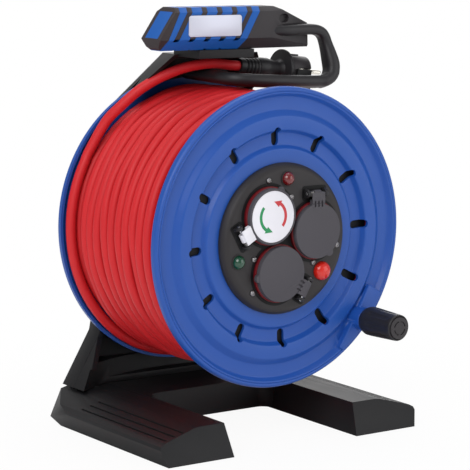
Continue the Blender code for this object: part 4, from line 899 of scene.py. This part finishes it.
def makeLamps():
    look = plateLook
    face, radius = look["face"], look["lampRadius"]
    base, stem, inner, outer = face + 0.0003, radius * 0.75, radius + 0.0001, radius + 0.0011
    for title, degrees in look["lamps"].items():
        place = drumPlace @ at(*polar(look["lampRing"], degrees))
        line = domeLine(radius, radius * 0.95, base) + [(stem, base), (stem, base - 0.006), (0, base - 0.006)]
        lens = newPiece(f"lamp{title}", revolve(line, 64), paint[f"lamp{title}"])
        put(lens, place, "drum", [f"lamp_{title.lower()}"])
        loop = [(inner, face), (outer, face), (outer, base + 0.0007), (inner, base + 0.0007)]
        ring = revolve(roundCorners(loop, 0.0003, 3, True), 64)
        put(newPiece(f"lampRing{title}", ring, paint["plateGrey"]), place, "drum", ())


def makeButton():
    radius, skirt = plateLook["buttonRadius"] - 0.0001, plateLook["face"] + 0.0008
    foot, stem = plateLook["face"] - 0.0045, 0.0025
    line = domeLine(radius, radius * 0.75, skirt)
    line += [(radius, foot), (stem, foot), (stem, foot - 0.005), (0, foot - 0.005)]
    button = newPiece("resetButton", revolve(line, 64), paint["buttonRed"])
    put(button, drumPlace @ buttonPlace, "button", ["reset_button"])


makeSocketPlate()
makeInset()
for index in sockets:
    makeHinge(index)
for index in sockets:
    makeSocket(index)
makePlateScrews()
makeLamps()
makeButton()
print("socket plate made")


# Lids, in hinge places: X along the pin, Y towards the lid's middle

lidLook = {
    "radius": 0.027, "back": -0.0003, "face": 0.0042, "edge": 0.00036, "tabTurn": 125, "tabRadius": 0.0040,
    "knuckleRadius": 0.0034, "knuckleHalf": 0.0040, "armHalf": 0.0076, "armStart": 0.0056,
    "tongueTop": 0.0030, "coverStart": -0.0012, "coverLow": 0.0031, "coverWall": 0.0009, "barCount": 3,
    "barStep": 0.0042, "ringWidth": 0.0022, "ringDrop": 0.0023, "signRadius": 0.0145, "signWidth": 0.0030,
    "ink": 0.00012,
}
lidMiddle = at(0, hingeLook["reach"])
lidNear = hingeLook["reach"] - lidLook["radius"]  # the lid's edge that is next to the pin


def lidDisc(name, top, material):
    # the round of a lid with its lifting tab
    look = lidLook
    radius, back = look["radius"], look["back"]
    lid = newPiece(name, revolve([(0, back), (radius, back), (radius - 0.0005, top), (0, top)]), material)
    moved(lid.data, lidMiddle)
    x, y = polar(radius - 0.001, look["tabTurn"])
    tab = disc(look["tabRadius"], back, top - 0.0004, 40, at(x, y + hingeLook["reach"]))
    return carve(lid, tab, "UNION")


def armMesh(end, top):
    half = lidLook["armHalf"]
    return boxMesh((-half, lidLook["armStart"], lidLook["back"]), (half, end, top))


def addKnuckle(piece, tongueEnd, coverEnd):
    # the tongue, the cover and the knuckle with its bore
    look = lidLook
    half, knuckle, coverLow = look["armHalf"], look["knuckleHalf"], look["coverLow"]
    carve(piece, boxMesh((-knuckle, 0, look["back"]), (knuckle, tongueEnd, look["tongueTop"])), "UNION")
    coverEdge = (half, coverEnd, coverLow + look["coverWall"])
    carve(piece, boxMesh((-half, look["coverStart"], coverLow), coverEdge), "UNION")
    carve(piece, alongX(-knuckle, knuckle, look["knuckleRadius"]), "UNION")
    return carve(piece, alongX(-0.02, 0.02, hingeLook["pinRadius"] + 0.0003, 32, 0.0001))


def finishLid(lid, place, body, nodes):
    put(soften(tidyFaces(lid, 0.2), lidLook["edge"], 3, 40), place, body, nodes, 40)


def makeGreyLid(name, node, body, place):
    look = lidLook
    lid = lidDisc(name, look["face"], paint["lidGrey"])
    carve(lid, armMesh(lidNear + 0.0060, look["face"] - 0.0006), "UNION")
    addKnuckle(lid, lidNear + 0.005, lidNear)
    row = {
        "Count": look["barCount"], "Start": (-look["barStep"], 0.0098, look["face"] - 0.0017),
        "Step": (look["barStep"], 0, 0),
    }
    carve(lid, growMesh(rowTree, row, prism(roundedBox(0.0010, 0.0030, 0.0006), 0, 0.004)))
    finishLid(lid, place, body, [node])


def makeWhiteLid(place):
    look = lidLook
    top = look["face"] - look["ringDrop"]
    finishLid(lidDisc("lidWhiteBack", top, paint["lidGrey"]), place, "white_lid", ())
    hold = look["radius"] - look["ringWidth"] - fitGap
    lid = newPiece("lidWhite", disc(hold, top + 0.0001, look["face"], 96, lidMiddle), paint["lidWhite"])
    finishLid(lid, place, "white_lid", ["lid_white"])
    arm = newPiece("lidWhiteArm", armMesh(lidNear + 0.0006, top), paint["lidWhite"])
    finishLid(addKnuckle(arm, lidNear, lidNear + 0.0006), place, "white_lid", ())


def makeBezel(place):
    look = lidLook
    radius, hold = look["radius"], look["radius"] - look["ringWidth"]
    low, high = look["face"] - look["ringDrop"] + fitGap, look["face"] + fitGap
    loop = [(hold, low), (hold, high), (radius - 0.0008, high), (radius, high - 0.0008), (radius, low)]
    bezel = newPiece("lidBezel", revolve(roundCorners(loop, 0.0003, 3, True)), paint["lidGrey"])
    put(bezel, place @ lidMiddle, "white_lid", ["lid_bezel"])


def makeSign(place):
    # two plain turning arrows, one for each way round
    look = lidLook
    radius, half, face = look["signRadius"], look["signWidth"] / 2, look["face"]
    for name, ink, start in (("signGreen", "inkGreen", 200), ("signRed", "inkRed", 20)):
        neck, tip = start + 96, start + 128
        outline = arcPoints((0, 0), radius + half, start, neck, 24)
        outline += [polar(radius + half * 2.4, neck), polar(radius, tip), polar(radius - half * 2.4, neck)]
        outline += arcPoints((0, 0), radius - half, neck, start, 24)
        arrow = newPiece(name, prism(outline, face + 0.00002, face + look["ink"]), paint[ink])
        put(arrow, place @ lidMiddle, "white_lid", ())


makeGreyLid("lidRight", "lid_right", "right_lid", hingePlace(0))
makeWhiteLid(hingePlace(1))
makeGreyLid("lidLower", "lid_lower", "lower_lid", hingePlace(2))
makeBezel(hingePlace(1))
makeSign(hingePlace(1))
print("lids made")


# Crank

crankLook = {
    "base": 0.0966, "length": 0.049, "radius": 0.0142, "bore": 0.0043, "flutes": 8, "fluteDepth": 0.0009,
    "capDepth": 0.0075, "notchCount": 4, "notchRing": 0.0065, "notchWidth": 0.0013, "notchSweep": 66,
    "notchTurn": 12, "notchDepth": 0.0010,
}


def fluteKnob(mesh, base, tip, least):
    # pulls the outer points in between the knob's ends, in flat-topped waves
    look, fade = crankLook, 0.006
    for vert in mesh.vertices:
        out = math.hypot(vert.co.x, vert.co.y)
        started = min(1.0, max(0.0, (vert.co.z - base - 0.010) / fade))
        share = started * min(1.0, max(0.0, (tip - fade - vert.co.z) / fade))
        if out > least and share > 0:
            wave = max(0.0, math.cos(look["flutes"] * math.atan2(vert.co.y, vert.co.x)) - 0.2) / 0.8
            pull = 1 - look["fluteDepth"] * min(1.0, wave * 1.6) * share / out
            vert.co.x *= pull
            vert.co.y *= pull


def makeKnob(base, tip, end):
    look = crankLook
    radius, bore, hollow = look["radius"], look["bore"], tip - look["capDepth"]
    line = [
        (bore, base), (bore, hollow), (0.0098, hollow), (0.0098, tip - 0.0032), (end - 0.0020, tip - 0.0032),
        (end - 0.0014, tip - 0.0010), (end - 0.0002, tip - 0.0022), (end, tip - 0.005),
    ]
    for t in (0.02, 0.1, 0.2, 0.35, 0.5, 0.65, 0.8, 0.9, 0.98):
        line.append((end + (radius - end) * t, tip - 0.005 - (look["length"] - 0.017) * t))
    line += [
        (radius, base + 0.012), (radius, base + 0.006), (radius - 0.0016, base + 0.0015),
        (radius - 0.0040, base),
    ]
    knob = newPiece("crankKnob", revolve(roundCorners(line, 0.0006, 3, True), 128), paint["handleBlack"])
    fluteKnob(knob.data, base, tip, end - 0.0006)
    put(knob, drumPlace @ knobPlace, "knob", ["crank_knob"], 40)


def makeKnobCap(tip, radius):
    look = crankLook
    ring, half, sweep = look["notchRing"], look["notchWidth"] / 2, look["notchSweep"] / 2
    low = tip - 0.0029
    line = [(0, tip), (radius - 0.0006, tip), (radius, tip - 0.0006), (radius, low), (0, low)]
    cap = newPiece("knobCap", revolve(line), paint["gripGrey"])
    notch = arcPoints((0, 0), ring + half, -sweep, sweep, 12)
    notch += arcPoints((0, 0), ring - half, sweep, -sweep, 12)
    start = math.radians(look["notchTurn"] + sweep)
    values = {"Count": look["notchCount"], "Radius": 0.0, "Start Angle": start}
    carve(cap, growMesh(ringTree, values, prism(notch, tip - look["notchDepth"], tip + 0.01)))
    put(cap, drumPlace @ knobPlace, "knob", ["knob_cap"], 30)


def makeCrank():
    base, end = crankLook["base"], crankLook["radius"] - 0.0012
    tip = base + crankLook["length"]
    makeKnob(base, tip, end)
    makeKnobCap(tip, end - 0.0022)


makeCrank()
print("crank made")


# Lead and plug

leadLook = {
    "spacing": 0.004, "sides": 10, "seat": 0.0003,
    "route": (
        (-0.1023, 0.0660, 0.2990), (-0.0912, 0.0560, 0.3152), (-0.0746, 0.0480, 0.3312),
        (-0.0568, 0.0380, 0.3436), (-0.0360, 0.0265, 0.3530), (-0.0130, 0.0185, 0.3568),
    ),
}
plugLook = {
    "y": 0.012, "collarX": 0.070, "collarZ": 0.349, "tilt": 5.5, "neckRadius": 0.0100, "neckLength": 0.031,
    "bootLength": 0.022, "bootRadius": 0.0090, "ribs": 4, "rib": 0.0040, "ribDepth": 0.0014,
    "collarRadius": 0.020, "collarHalf": 0.0016, "faceRadius": 0.0185, "faceFlat": 0.0145,
    "faceLength": 0.022, "faceStart": 0.0018, "pinRadius": 0.0024, "pinLength": 0.019,
    "pinSpacing": 0.019, "pinSeat": 0.0057, "cutEnd": 0.1,
}
plugSides = {"Front": -1, "Rear": 1}
plugPlace = standPlace @ at(plugLook["collarX"], plugLook["y"], plugLook["collarZ"])
plugPlace = plugPlace @ Matrix.Rotation(math.pi / 2 + math.radians(plugLook["tilt"]), 4, "Y")


def smoothRoute(points, spacing):
    # even points on a Catmull-Rom curve through the route's own points
    knots = [Vector(p) for p in points]
    knots = [2 * knots[0] - knots[1]] + knots + [2 * knots[-1] - knots[-2]]
    fine = []
    for a, b, c, d in zip(knots, knots[1:], knots[2:], knots[3:]):
        for i in range(24):
            t = i / 24
            square, cube = 2 * a - 5 * b + 4 * c - d, 3 * b - a - 3 * c + d
            fine.append((2 * b + (c - a) * t + square * t ** 2 + cube * t ** 3) / 2)
    fine.append(knots[-2])
    length = lengthOf(fine)
    steps = max(2, round(length / spacing))
    route, walked, target = [fine[0]], 0.0, length / steps
    for a, b in zip(fine, fine[1:]):
        stride = (b - a).length
        while walked + stride >= target - 1e-9 and len(route) < steps:
            route.append(a.lerp(b, (target - walked) / stride))
            target += length / steps
        walked += stride
    route.append(fine[-1])
    return route


def lengthOf(route):
    return sum((b - a).length for a, b in zip(route, route[1:]))


def curveThrough(name, places, dimensions="3D"):
    curve = bpy.data.curves.new(name, "CURVE")
    curve.dimensions = dimensions
    curve.use_fill_caps = dimensions == "3D"
    spline = curve.splines.new("POLY")
    spline.points.add(len(places) - 1)
    for point, place in zip(spline.points, places):
        point.co = (*place, 1)
    return curve


def plugPoint(along):
    # a point on the plug's axis, in stand places
    look = plugLook
    tilt = math.radians(look["tilt"])
    x, z = look["collarX"] + along * math.cos(tilt), look["collarZ"] - along * math.sin(tilt)
    return Vector((x, look["y"], z))


def lastTurnPoint(turnsLeft):
    # a point of the last turn's centre line, in stand places
    x, y = polar(outerTurns["Last Radius"], cableLook["leadAngle"] + 360 * turnsLeft)
    return Vector((x, -outerTurns["Last Lane"], y + drumCentre.z))


def makeLead():
    look, radius = leadLook, cableLook["radius"]
    start = lastTurnPoint(0)
    heading = (start - lastTurnPoint(1 / outerTurns["Steps A Turn"])).normalized()
    boot = -plugLook["neckLength"] - plugLook["bootLength"] - 2 * look["seat"]
    points = [start, start + heading * 2 * radius, *look["route"]]
    points += [plugPoint(boot - 2 * radius), plugPoint(boot)]
    route = [standPlace @ p for p in smoothRoute(points, look["spacing"])]
    curve = curveThrough("cableLead", route)
    curve.bevel_depth = radius
    curve.bevel_resolution = look["sides"]
    curve.materials.append(paint["cableRed"])
    return seat(addObject("cableLead", curve), "stand", ["cable_lead"]), route


def makePlugBody():
    look = plugLook
    neck, length = look["neckRadius"], look["neckLength"]
    collar, half = look["collarRadius"], look["collarHalf"]
    line = [
        (0, half), (collar, half), (collar, -half), (neck, -0.0024), (neck - 0.0022, -0.006),
        (neck - 0.0018, -0.012), (neck, -0.020), (neck, -0.027), (neck - 0.0008, -length), (0, -length),
    ]
    body = newPiece("plugBody", revolve(roundCorners(line, 0.0010, 4)), paint["handleBlack"])
    return put(body, plugPlace, "stand", ["plug_body"], 50)


def makePlugBoot():
    look = plugLook
    start, rib, wide = -look["neckLength"] - leadLook["seat"], look["rib"], look["bootRadius"]
    line = [(0, start), (wide, start)]
    for i in range(look["ribs"]):
        top, outer = start - 0.002 - i * rib, wide - 0.0003 * i
        inner = outer - look["ribDepth"]
        line += [(outer, top), (inner, top - rib * 0.15), (inner, top - rib * 0.5), (outer, top - rib * 0.65)]
    low = start - look["bootLength"]
    line += [(0.0080, low + 0.0038), (0.0074, low), (0, low)]
    boot = newPiece("plugBoot", revolve(roundCorners(line, 0.0004, 3), 64), paint["handleBlack"])
    return put(boot, plugPlace, "stand", ["plug_boot"], 50)


def makePlugFace(low, high):
    look = plugLook
    flat, radius = look["faceFlat"], look["faceRadius"]
    face = newPiece("plugFace", prism(roundedBox(flat, radius, 0.0135, 12), low, high), paint["gripGrey"])
    key = boxMesh((-flat - 0.0016, -0.0025, low + 0.004), (-flat + 0.002, 0.0025, low + 0.016))
    carve(face, key, "UNION")
    for title, side in plugSides.items():
        pin = at(0, side * look["pinSpacing"] / 2)
        carve(face, disc(look["pinRadius"] + fitGap, high - 0.006, look["cutEnd"], 32, pin))
        edge, strip = side * radius, side * (radius - 0.0012)
        carve(face, boxMesh((-0.0030, edge - 0.0014, low + 0.007), (0.0030, edge + 0.0014, look["cutEnd"])))
        barLow, barHigh = (-0.0026, strip - 0.0003, low + 0.0074), (0.0026, strip + 0.0003, high - 0.0004)
        clip = newPiece(f"earthStrip{title}", boxMesh(barLow, barHigh, plugPlace), paint["nickel"])
        put(soften(clip, 0.0002, 2), None, "stand", ())
    soften(tidyFaces(face, 0.2), 0.0007, 3, 40)
    return put(face, plugPlace, "stand", ["plug_face"], 40)


def makePlugPins(high):
    look, pins = plugLook, []
    base, end, radius = high - look["pinSeat"], high + look["pinLength"], look["pinRadius"]
    line = [(0, base), (radius, base), *arcPoints((0, end - radius), radius, 0, 80, 8), (0, end)]
    for title in ("Rear", "Front"):
        pin = newPiece(f"plugPin{title}", revolve(line, 40), paint["nickel"])
        place = plugPlace @ at(0, plugSides[title] * look["pinSpacing"] / 2)
        pins.append(put(pin, place, "stand", [f"plug_pin_{title.lower()}"], 50))
    return pins


lead, leadRoute = makeLead()
faceLow, faceHigh = plugLook["faceStart"] + 0.0003, plugLook["faceStart"] + plugLook["faceLength"]
plugPieces = [makePlugBody(), makePlugBoot(), makePlugFace(faceLow, faceHigh), *makePlugPins(faceHigh)]
leadLength = lengthOf(leadRoute)
print("lead and plug made, lead", round(leadLength * 1000), "mm")


# Handle

bowLook = {
    "depth": 0.016, "height": 0.011, "corner": 0.005, "spacing": 0.003, "plain": 0.96, "swell": 0.32,
    "lowSwell": 0.07, "limbX": 0.092, "limbZ": 0.354, "limbReach": 0.026, "lowZ": 0.347,
    "route": (
        (0.0220, -0.0020, 0.3885), (0.0320, -0.0040, 0.3890), (0.0450, -0.0090, 0.3896),
        (0.0580, -0.0120, 0.3898), (0.0860, -0.0122, 0.3899), (0.0970, -0.0124, 0.3878),
        (0.1025, -0.0128, 0.3830), (0.1052, -0.0140, 0.3750), (0.1072, -0.0165, 0.3650),
        (0.1085, -0.0195, 0.3535), (0.1065, -0.0212, 0.3455), (0.1005, -0.0220, 0.3402),
        (0.0900, -0.0220, 0.3385), (0.0600, -0.0215, 0.3397), (0.0300, -0.0200, 0.3410),
        (0.0080, -0.0165, 0.3423), (-0.0035, -0.0095, 0.3431), (-0.0078, 0.0020, 0.3437),
        (-0.0080, 0.0160, 0.3440), (-0.0080, 0.0582, 0.3445), (-0.0080, 0.0682, 0.3445),
    ),
}
gripLook = {
    "endX": 0.0010, "endSlope": 0.5637, "stripeCount": 5, "stripePitch": 0.0177, "stripeFirst": -0.0117,
    "stripeWidth": 0.0062, "stripeRise": 0.0085, "notch": 0.0026, "nickShift": -0.0085, "leftSlope": 0.480,
    "leftX": -0.0950, "leftZ": 0.3835, "leftBand": 0.0105, "panelHalf": 0.0105, "gap": 0.00018,
    "across": (-0.05, 0.07), "plate": (-0.031, 0.3957), "plateHalf": (0.031, 0.0102),
}
coverLow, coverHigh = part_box("grip_cover")


def makeBow():
    look = bowLook
    outline = roundedBox(look["depth"] / 2, look["height"] / 2, look["corner"], 6)[::-1]
    section = curveThrough("bowSection", [(a, b, 0) for a, b in outline], "2D")
    section.splines[0].use_cyclic_u = True
    curve = curveThrough("handleBow", smoothRoute(look["route"], look["spacing"]))
    curve.bevel_mode = "OBJECT"
    curve.bevel_object = addObject("bowSection", section)
    for point in curve.splines[0].points:  # the right limb and the lower run are thicker
        x, z = point.co[0], point.co[2]
        limb = max(0.0, 1 - abs(z - look["limbZ"]) / look["limbReach"]) if x > look["limbX"] else 0.0
        point.radius = look["plain"] + look["swell"] * limb * limb * (3 - 2 * limb)
        point.radius += look["lowSwell"] if z < look["lowZ"] else 0.0
    bow = addObject("bowCurve", curve)
    bm = bmesh.new()
    bm.from_mesh(shownMesh(bow))
    for thing in (curve.bevel_object, bow):
        bpy.data.objects.remove(thing)
    bmesh.ops.remove_doubles(bm, verts=bm.verts, dist=1e-6)
    bmesh.ops.recalc_face_normals(bm, faces=bm.faces)
    piece = newPiece("handleBow", meshOf(bm, "handleBow"), paint["handleBlack"])
    put(piece, standPlace, "stand", ["handle_bow"], 50)


def acrossGrip(outline):
    return prism(outline, *gripLook["across"], None, "XZ")


def slantedBar(low, high, width):
    # a bar parallel to the cover's slanted end, with x measured from that end
    look, outline = gripLook, []
    for z, side in ((low, -1), (low, 1), (high, 1), (high, -1)):
        outline.append((look["endX"] + look["endSlope"] * (z - coverLow.z) + side * width / 2, z))
    return acrossGrip(outline)


def stripeRow(x, z=0):
    return {"Count": gripLook["stripeCount"], "Start": (x, 0, z), "Step": (-gripLook["stripePitch"], 0, 0)}


def stripeTools(slack):
    # the stripes and the frame at the left end, each narrower by the slack
    look = gripLook
    low, high = coverLow.z - 0.01, coverHigh.z + 0.01
    start = coverLow.z + look["stripeRise"] + (look["notch"] if slack else 0.0)
    bar = slantedBar(start, high, look["stripeWidth"] - 2 * slack)
    stripes = growMesh(rowTree, stripeRow(look["stripeFirst"]), bar)
    edgeLow, edgeHigh = (look["leftX"] + look["leftSlope"] * (z - look["leftZ"]) for z in (low, high))
    band = look["leftBand"] - slack
    outline = [(edgeLow - 0.05, low), (edgeLow + band, low), (edgeHigh + band, high), (edgeHigh - 0.05, high)]
    endFrame = newPiece("endFrame", acrossGrip(outline), None)
    middle, half = standPlace.translation.y, look["panelHalf"] + slack
    panel = boxMesh((-far, middle - half, coverLow.z + 0.012), (0.1, middle + half, coverHigh.z - 0.004))
    return stripes, takeMesh(carve(endFrame, panel))


def makeGrip():
    look = gripLook
    for node, name in (("grip_front_shell", "gripFrontShell"), ("grip_rear_shell", "gripRearShell")):
        shell = soften(copyOf(node, name, paint["gripGrey"]), 0.0010, 3, 30)
        put(shell, None, "stand", [node])
    cover = copyOf("grip_cover", "gripCover", paint["softBlue"])
    ribs = newPiece("gripRibs", cover.data.copy(), paint["ribGrey"])
    for tool in stripeTools(0.0):
        carve(cover, tool)
    nick = boxMesh((-0.0016, look["across"][0], -0.003), (0.0016, look["across"][1], 0.0012))
    row = stripeRow(look["stripeFirst"] + look["nickShift"], coverLow.z)
    carve(cover, growMesh(rowTree, row, nick))
    put(soften(tidyFaces(cover, 0.2), 0.0006, 3, 30), None, "stand", ["grip_cover"])
    stripes, endFrame = stripeTools(look["gap"])
    both = carve(newPiece("both", stripes, None), endFrame, "UNION")
    carve(ribs, takeMesh(both), "INTERSECT")
    put(soften(tidyFaces(ribs, 0.2), 0.0005, 2, 30), None, "stand", ())


def makeNamePlate():
    low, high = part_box("grip_name_plate")
    x, z = gripLook["plate"]
    outline = roundedBox(*gripLook["plateHalf"], 0.003, 8)
    plate = newPiece("gripNamePlate", prism(outline, low.y, high.y, at(x, 0, z), "XZ"), paint["namePlate"])
    put(soften(plate, 0.0004, 3), None, "stand", ["grip_name_plate"])


makeBow()
makeGrip()
makeNamePlate()
print("handle made")


# Stand: the CAD's own shapes with softened edges

dressed = {
    "base_frame": ("baseFrame", "standBlack", "black_plastic", 0.0014),
    "rear_frame": ("rearFrame", "standBlack", "black_plastic", 0.0008),
    "top_hood": ("topHood", "standBlack", "black_plastic", 0.0008),
    "plug_holder": ("plugHolder", "standBlack", "black_plastic", 0.0005),
    "axle_nut_rear": ("axleNutRear", "steel", "steel", 0.0006),
    "axle": ("axle", "steel", "steel", 0.0005),
}
cornerPlane = ((0.1218, 0.1248, 0.0313), (0.13605, 0.1248, 0.0), (0.1469, 0.0886, 0.021))


def leanCorner(piece, side):
    # cuts a rear corner of the base along the leg's outer face
    a, b, c = (Vector((side * x, y, z)) for x, y, z in cornerPlane)
    out = (b - a).cross(c - a).normalized()
    if out.x * side < 0:
        out.negate()
    down = (b - a).normalized()
    place = Matrix((out, down, out.cross(down))).transposed().to_4x4()
    place.translation = a
    carve(piece, boxMesh((0, -0.1, -0.1), (0.08, 0.1, 0.1), place))


for node, (name, look, slot, edge) in dressed.items():
    piece = copyOf(node, name + "Shell", paint[look])
    if node == "base_frame":
        leanCorner(piece, -1)
        leanCorner(piece, 1)
        tidyFaces(piece)
    put(soften(piece, edge, 3, 28), None, "stand", [node], 34)

inside = {
    "insidePlastic": ["front_bush", "rear_bush"],
    "handleBlack": ["drum_barrel", "thermal_cutout"],
    "steel": [
        "axle_nut_front", "front_washer", "rear_spacer", "crank_pin", "hood_screw_1", "hood_screw_2",
        *(f"base_screw_{i}" for i in (1, 2, 3, 4)),
    ],
}
for look, names in inside.items():
    for name in names:
        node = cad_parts[name]
        node.data.materials.clear()
        node.data.materials.append(paint[look])
print("stand made")


# Camera, light and floor

cameraLook = {
    "place": (-1.21609, -1.66173, 0.51495), "yaw": -36.165, "pitch": 8.958, "roll": 0.993, "lens": 162.78,
}
lampsLook = {
    "key": {"place": (-1.5, -1.1, 1.5), "size": 1.4, "power": 24},
    "fill": {"place": (1.3, -1.9, 0.8), "size": 1.8, "power": 14},
    "top": {"place": (0.2, 0.5, 1.9), "size": 1.6, "power": 15},
    "rim": {"place": (1.4, 1.3, 1.0), "size": 1.2, "power": 10},
}
studioLook = {
    "aim": (0, 0, 0.2), "unseenSky": 0.38, "floorHalf": 6.0, "nearWhite": 0.93, "nearReach": 0.2,
    "fade": 0.35,
}


def makeCamera():
    look = cameraLook
    yaw, pitch, roll = (math.radians(look[k]) for k in ("yaw", "pitch", "roll"))
    right = Vector((math.cos(yaw), math.sin(yaw), 0))
    back = Vector((math.sin(yaw) * math.cos(pitch), -math.cos(yaw) * math.cos(pitch), math.sin(pitch)))
    up = back.cross(right)
    across = right * math.cos(roll) + up * math.sin(roll)
    over = up * math.cos(roll) - right * math.sin(roll)
    data = bpy.data.cameras.new("camera")
    data.sensor_width = 36
    data.lens = look["lens"]
    camera = addObject("camera", data)
    place = Matrix((across, over, back)).transposed().to_4x4()
    place.translation = look["place"]
    camera.matrix_world = place
    scene.camera = camera


def makeLights():
    for name, look in lampsLook.items():
        data = bpy.data.lights.new(name, "AREA")
        data.size = look["size"]
        data.energy = look["power"]
        lamp = addObject(name, data)
        lamp.location = look["place"]
        aim = Vector(studioLook["aim"]) - Vector(look["place"])
        lamp.rotation_euler = aim.to_track_quat("-Z", "Y").to_euler()


def seenDirectly(tree):
    path = addNode(tree, "ShaderNodeLightPath")
    return Wire(tree, path.outputs["Is Camera Ray"]).atLeast(path.outputs["Is Transmission Ray"])


def makeWorld():
    # white where it is seen, dimmer as a light
    world = bpy.data.worlds.new("studio")
    scene.world = world
    world.use_nodes = True
    tree = world.node_tree
    background = tree.nodes["Background"]
    levels = {"Factor": seenDirectly(tree), 2: studioLook["unseenSky"], 3: 1.0}
    level = addNode(tree, "ShaderNodeMix", levels, data_type="FLOAT")
    feed(tree, background.inputs["Color"], (1, 1, 1, 1))
    feed(tree, background.inputs["Strength"], level.outputs[0])


def makeFloor():
    # glows white where it is seen; near the reel a little of its shading shows
    look = studioLook
    half, nearWhite = look["floorHalf"], look["nearWhite"]
    material = bpy.data.materials.new("paleFloor")
    material.use_nodes = True
    tree = material.node_tree
    diffuse = tree.nodes["Principled BSDF"]
    for title, value in (("Base Color", (0.9, 0.9, 0.9, 1)), ("Roughness", 0.9), ("Specular IOR Level", 0.1)):
        feed(tree, diffuse.inputs[title], value)
    glow = addNode(tree, "ShaderNodeEmission", {"Color": (1, 1, 1, 1)})
    coords = addNode(tree, "ShaderNodeTexCoord").outputs["Object"]
    spot = addNode(tree, "ShaderNodeVectorMath", {0: coords}, operation="LENGTH")
    away = ((Wire(tree, spot.outputs["Value"]) - look["nearReach"]) / look["fade"]).eased()
    share = seenDirectly(tree) * (away * (1 - nearWhite) + nearWhite)
    mix = addNode(tree, "ShaderNodeMixShader", {0: share, 1: diffuse.outputs[0], 2: glow.outputs[0]})
    feed(tree, tree.nodes["Material Output"].inputs["Surface"], mix.outputs[0])
    newPiece("floor", boxMesh((-half, -half, -0.01), (half, half, 0)), material)


makeCamera()
makeLights()
makeWorld()
makeFloor()
scene.view_settings.view_transform = "Standard"
print("studio made")
